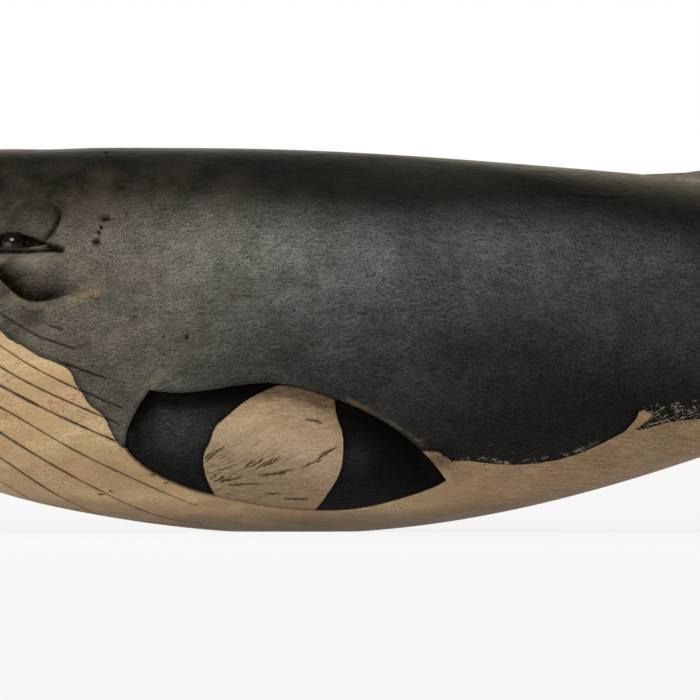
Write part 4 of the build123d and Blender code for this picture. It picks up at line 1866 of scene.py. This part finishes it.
@dataclass
class DorsalFin:
    """The swept fin on the back, flared at its foot.

    Its edges hold shares up from the back and along the base. They run straight down into the body.
    """

    hull: Hull
    front: float = 127.0
    base: float = 84.0
    height: float = 41.0
    thick: float = 11.0
    root: float = 40.0
    buried: float = 10.0
    blunt: float = 0.3
    thinning: float = 0.66
    flare: float = 7.0
    flare_reach: float = 5.0
    leading: Points = ((-0.02, 0.0), (0.045, 0.22), (0.19, 0.45), (0.53, 0.70), (0.93, 0.92), (1.0, 0.985))
    trailing: Points = ((0.0, 1.0), (0.30, 0.955), (0.64, 0.965), (0.93, 0.99), (1.0, 0.995))
    around: int = 120
    rows: int = 110
    flow_shift: tuple[float, float, float] = (0.0, 300.0, 0.0)

    def build(self, material: Material) -> None:
        """Model the fin and hand it over.

        Args:
            material: The fin's finish.
        """
        form = sheet(self.rows, self.around)
        weld(form, 1.0)
        join_sides(form)
        flat = gather(form)
        places, edge = self._form(flat[:, 0], flat[:, 1] * 2 * np.pi)
        rise = np.clip(places[:, 2] - self.hull.sections(places[:, 0])[0], 0.0, None)
        move(form, places)
        close_rim(form)
        looks = painted_over(len(places), 0.35) | {
            "flow": places[:, (0, 2, 1)] * (1.0, 1.0, 0.4) + self.flow_shift,
            "wear": np.maximum(0.9 * bell(edge, 1.6), 0.28),
            "dust_and_painted_highlight": np.maximum(0.6 * bell(edge, 4.0), 0.5 * bell(rise, 6.0)),
        }
        mesh = finish_mesh(form, "dorsal_fin_carved", looks)
        hand_over("dorsal_fin_carved", mesh, material, Slot.FIN, "dorsal_fin")

    def _form(self, up: Array, turn: Array) -> tuple[Array, Array]:
        """Places on the fin's skin.

        Args:
            up: Shares of the way from the buried foot to the tip.
            turn: Angles round each level section, 0 at the trailing edge.

        Returns:
            The places, and their distance from the fin's outline in side view.
        """
        middle = float(self.hull.sections(np.array([self.front + self.base / 2]))[0][0])
        top = middle + self.height
        lead, trail = self._outline(self.leading, top), self._outline(self.trailing, top)
        foot = float(lead[0, 1]) - self.buried
        z = foot + (top - self.blunt - foot) * (0.28 * up + 0.72 * up**1.7)
        first = np.interp(z, lead[:, 1], lead[:, 0])
        last = np.interp(z, trail[:, 1], trail[:, 0])
        x = (first + last) / 2 + (last - first) / 2 * np.cos(turn)
        back = self.hull.sections(x)[0]
        high = np.clip((z - middle) / self.height, 0.0, 1.0)
        along = (x - self.front - 0.55 * self.base) / (0.62 * self.base)
        lens = np.sqrt(np.clip(1 - along**2, 0.05, 1.0))
        edge = np.minimum(x - first, last - x)
        rounding = np.sqrt(np.clip(edge / np.maximum(0.32 * (last - first), 1.0), 0.0, 1.0))
        half = self.thick / 2 * lens * (1 - self.thinning * high) * rounding
        aside = np.sin(turn)
        flared = self.flare * np.exp(-np.clip(z - back, 0.0, None) / self.flare_reach) * np.abs(aside)
        y = np.where(np.abs(aside) < TINY, 0.0, -np.sign(aside) * (half + flared))
        return np.column_stack([x, y, z]), np.minimum(edge, top - z)

    def _outline(self, points: Points, top: float) -> Array:
        """X and Z of one edge of the fin, from its buried foot up.

        Args:
            points: Shares up from the back and along the base.
            top: Height of the tip.

        Returns:
            Points along the edge, rising.
        """
        line = drawn_line(points, 160)
        x = self.front + line[:, 1] * self.base
        back = self.hull.sections(x)[0]
        z = np.maximum.accumulate(back + line[:, 0] * (top - back))
        foot = np.array([[x[0], z[0] - self.root]])
        return np.vstack([foot, np.column_stack([x, z + np.arange(len(z)) * TINY])])


@dataclass
class Flukes:
    """The tail's two flukes, one board with a notch behind.

    Their edges hold shares of half the span and of the sweep.
    """

    hull: Hull
    span: float = 152.0
    sweep: float = 77.0
    slot: float = 34.0
    thick: float = 8.0
    thinning: float = 0.72
    boss: float = 1.6
    boss_reach: float = 7.0
    leading: Points = ((0.0, -0.02), (0.06, 0.0), (0.28, 0.20), (0.68, 0.55), (0.95, 0.86), (1.0, 0.97))
    trailing: Points = ((0.0, 0.77), (0.10, 0.84), (0.34, 0.81), (0.68, 0.87), (0.95, 0.97), (1.0, 0.995))
    around: int = 96
    across: int = 200
    flow_shift: tuple[float, float, float] = (700.0, 0.0, 0.0)

    def build(self, material: Material) -> None:
        """Model the flukes and hand them over.

        Args:
            material: The flukes' finish.
        """
        form = sheet(self.across, self.around)
        weld(form, 0.0)
        weld(form, 1.0)
        join_sides(form)
        flat = gather(form)
        places, edge = self._form(flat[:, 0] * 2 - 1, flat[:, 1] * 2 * np.pi)
        move(form, places)
        close_rim(form)
        looks = painted_over(len(places), 0.25) | {
            "flow": places[:, (1, 0, 2)] + self.flow_shift,
            "wear": np.maximum(0.9 * bell(edge, 1.8), 0.24),
            "dust_and_painted_highlight": 0.35 * bell(edge, 3.0),
        }
        mesh = finish_mesh(form, "tail_flukes_carved", looks)
        hand_over("tail_flukes_carved", mesh, material, Slot.FIN, "tail_flukes")

    def _form(self, out: Array, turn: Array) -> tuple[Array, Array]:
        """Places on the flukes' skin.

        Args:
            out: Shares of half the span, from one tip at -1 to the other at 1.
            turn: Angles round each section, 0 at the trailing edge.

        Returns:
            The places, and their distance from the outline in plan.
        """
        reach = np.sign(out) * (1 - (1 - np.abs(out)) ** 1.25)
        away = np.abs(reach)
        root = self.hull.end - self.slot
        first, last = (
            root + self.sweep * CubicLine(*np.array(edge).T)(away) for edge in (self.leading, self.trailing)
        )
        x = (first + last) / 2 + (last - first) / 2 * np.cos(turn)
        back, belly, _, _ = self.hull.sections(np.full(1, self.hull.end - self.hull.tail_round - 1))
        level = float(back[0] + belly[0]) / 2
        along = np.clip((x - first) / np.maximum(last - first, TINY), 0.0, 1.0)
        foil = 2.6 * np.sqrt(along) * (1 - along) ** 0.85
        half = self.thick / 2 * (1 - self.thinning * away) * np.clip(foil, 0.0, 1.0)
        half = half + self.boss * np.exp(-away * self.span / 2 / self.boss_reach) * np.sin(np.pi * along)
        aside = np.sin(turn)
        z = np.where(np.abs(aside) < TINY, level, level + np.sign(aside) * half)
        return np.column_stack([x, reach * self.span / 2, z]), np.minimum(x - first, last - x)


@dataclass
class Eyes:
    """Two glass domes in their sockets, at an X and Z in side view."""

    hull: Hull
    place: tuple[float, float]
    diameter: float = 9.8
    dome: float = 3.0
    inset: float = 2.25
    base: float = 2.7
    segments: int = 64

    def build(self, material: Material) -> None:
        """Model the left eye and hand it over with its mirror image.

        Args:
            material: The eyes' finish.
        """
        radius = (self.diameter**2 / 4 + self.dome**2) / (2 * self.dome)
        sunk = radius - self.dome
        form = bmesh.new()
        bmesh.ops.create_uvsphere(form, u_segments=self.segments, v_segments=self.segments, radius=radius)
        everything = [*form.verts, *form.edges, *form.faces]
        level, up = (0, 0, sunk), (0, 0, 1)
        bmesh.ops.bisect_plane(form, geom=everything, plane_co=level, plane_no=up, clear_inner=True)
        bmesh.ops.translate(form, verts=form.verts, vec=(0, 0, -sunk))
        rim = [edge for edge in form.edges if edge.is_boundary]
        wall = bmesh.ops.extrude_edge_only(form, edges=rim)["geom"]
        lower = [item for item in wall if isinstance(item, bmesh.types.BMVert)]
        bmesh.ops.translate(form, verts=lower, vec=(0, 0, -self.base))
        close_rim(form)
        far = np.hypot(*gather(form)[:, :2].T) / (self.diameter / 2)
        bmesh.ops.transform(form, matrix=self._stand() @ Matrix.Diagonal((MM, MM, MM, 1.0)), verts=form.verts)
        mesh = finish_mesh(form, "eye_left", {"pupil": far})
        hand_over_pair(mesh, "eye_right", material, Slot.EYE, ("left_eye", "right_eye"))

    def _stand(self) -> Matrix:
        """Work out where the left eye sits and which way it looks.

        Returns:
            The eye's place, in metres, and its turn.
        """
        x, z = np.array([self.place, self.place]).T + ((0.0, 0.0), (0.0, 1.0))
        low, high = self.hull.surface(x, self.hull.down(x, z))
        lean = math.atan2(high[1] - low[1], 1.0)
        look = Vector((0.0, -math.cos(lean), math.sin(lean)))
        up = look.cross(Vector((1.0, 0.0, 0.0)))
        turn = Matrix(((1.0, up.x, look.x), (0.0, up.y, look.y), (0.0, up.z, look.z))).to_4x4()
        return Matrix.Translation((Vector(low) - look * self.inset) * MM) @ turn


@dataclass
class Dowels:
    """The hidden dowels and the pin, which stay as the frame has them."""

    nodes: tuple[str, ...] = ("seam_dowels", "flipper_dowels", "fin_dowels", "fluke_pin")

    def dress(self, material: Material) -> None:
        """Give them their wood.

        Args:
            material: Their finish.
        """
        for name in self.nodes:
            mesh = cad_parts[name].data
            mesh.materials.clear()
            mesh.materials.append(material)
            LOG.info("%s: CAD node with turned wood", name)


@dataclass(frozen=True)
class Lamp:
    """A soft lamp: where it hangs and its width and height, in metres, and its power in watts."""

    name: str
    place: tuple[float, float, float]
    size: tuple[float, float]
    power: float


@dataclass
class Studio:
    """A pale floor, soft lamps, a white surround and the camera.

    The floor's sizes and the camera's clip_end are metres. What the eye sees of the floor is mostly its own
    glow: most far off, and less about the whale, where its shadow falls. The near and the far glow each hold
    a distance and the glow's share there.
    """

    middle: tuple[float, float] = (22.5, 68.25)
    picture_width: float = 263.2
    distance: float = 12000.0
    clip_end: float = 100.0
    floor_size: float = 80.0
    floor_glow: float = 0.935
    glow_near: tuple[float, float] = (0.3, 0.91)
    glow_far: tuple[float, float] = (1.3, 0.985)
    lamp_colour: tuple[float, float, float] = (1.0, 0.985, 0.91)
    lamps: tuple[Lamp, ...] = (
        Lamp("key", (-0.55, -1.25, 1.80), (1.15, 0.95), 45.0),
        Lamp("fill", (-1.9, -1.7, 0.5), (2.6, 2.0), 38.0),
    )

    def build(self) -> None:
        """Set up everything that isn't part of the whale."""
        bpy.context.scene.view_settings.view_transform = "Standard"
        self._set_camera()
        self._lay_floor()
        self._light_world()
        for lamp in self.lamps:
            self._hang(lamp)

    def _set_camera(self) -> None:
        """Set up a long lens, level, square to the left flank."""
        data = bpy.data.cameras.new("camera")
        data.lens = data.sensor_width * self.distance / self.picture_width
        data.clip_end = self.clip_end
        camera = bpy.data.objects.new("camera", data)
        camera.location = (self.middle[0] * MM, -self.distance * MM, self.middle[1] * MM)
        camera.rotation_euler = (math.pi / 2, 0.0, 0.0)
        bpy.context.scene.collection.objects.link(camera)
        bpy.context.scene.camera = camera

    def _lay_floor(self) -> None:
        """Lay a wide pale floor that stays white to the eye and keeps a soft shadow."""
        form = bmesh.new()
        bmesh.ops.create_grid(form, x_segments=1, y_segments=1, size=self.floor_size / 2)
        mesh = finish_mesh(form, "floor", {})
        g = Graph(bpy.data.materials.new("floor_pale"))
        pale = g.between(g.grain(g.object_place(), 0.8), 0.2, 0.8, 0.78, 0.82)
        g.show(Base_Color=g.blend(pale, NO_LIGHT, WHITE), Roughness=0.9, Specular_IOR_Level=0.1)
        away = g.reckon("LENGTH", g.object_place()).outputs["Value"]
        (near, near_share), (far, far_share) = self.glow_near, self.glow_far
        glowing = g.times(self._seen(g), g.between(away, near, far, near_share, far_share))
        glow = g.add("ShaderNodeEmission", Strength=self.floor_glow)
        mixer = g.add("ShaderNodeMixShader")
        g.feed_all(mixer, {0: glowing, 1: g.shader.outputs[0], 2: glow.outputs[0]})
        g.feed(g.tree.nodes["Material Output"].inputs["Surface"], mixer.outputs[0])
        mesh.materials.append(g.owner)
        floor = bpy.data.objects.new("floor", mesh)
        bpy.context.scene.collection.objects.link(floor)

    @staticmethod
    def _seen(g: Graph, behind: Value = 1.0) -> Socket:
        """Pick the rays that show the background.

        Args:
            g: The nodes of the floor or the world.
            behind: 1 where a reflection or glass shows it too.

        Returns:
            1 for those rays.
        """
        path = g.add("ShaderNodeLightPath").outputs
        shiny = g.most(path["Is Glossy Ray"], path["Is Transmission Ray"])
        return g.most(path["Is Camera Ray"], g.times(shiny, behind))

    def _light_world(self) -> None:
        """Make a surround: white behind the whale, bright low on the left, dim overhead and on the right."""
        world = bpy.data.worlds.new("surround")
        bpy.context.scene.world = world
        g = Graph(world)
        place = g.add("ShaderNodeTexCoord").outputs["Generated"]
        way = g.add("ShaderNodeSeparateXYZ", Vector=place).outputs
        low = g.between(way["Z"], 0.55, 0.12)
        behind = g.times(low, g.between(way["Y"], -0.1, 0.25))
        side = g.between(way["X"], -0.05, 0.5, 1.0, 0.3)
        room = g.mix(behind, g.plus(0.08, g.times(low, side, 0.85)), 1.0)
        g.show(Color=WHITE, Strength=g.mix(self._seen(g, behind), room, 1.0))

    def _hang(self, lamp: Lamp) -> None:
        """Hang one soft lamp, facing the whale's middle.

        Args:
            lamp: The lamp.
        """
        data = bpy.data.lights.new(lamp.name, "AREA")
        data.shape = "ELLIPSE"
        data.size, data.size_y = lamp.size
        data.energy = lamp.power
        data.color = self.lamp_colour
        hung = bpy.data.objects.new(lamp.name, data)
        hung.location = lamp.place
        aim = Vector((self.middle[0] * MM, 0.0, self.middle[1] * MM)) - Vector(lamp.place)
        hung.rotation_euler = aim.to_track_quat("-Z", "Y").to_euler()
        bpy.context.scene.collection.objects.link(hung)


def main() -> None:
    """Build the whale, then the studio round it."""
    logging.basicConfig(level=logging.INFO, format="%(name)s: %(message)s")
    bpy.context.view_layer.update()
    hull, leaf = Hull(), Leaf()
    carving = Carving(hull, leaf)
    fin_finish = FinWood().build()
    BodyHalves(hull, carving).build(PaintedWood().build())
    Flippers(hull, leaf).build(fin_finish)
    DorsalFin(hull).build(fin_finish)
    Flukes(hull).build(fin_finish)
    Eyes(hull, carving.eye).build(DarkGlass().build())
    Dowels().dress(TurnedWood().build())
    Studio().build()


if __name__ == "__main__":
    main()
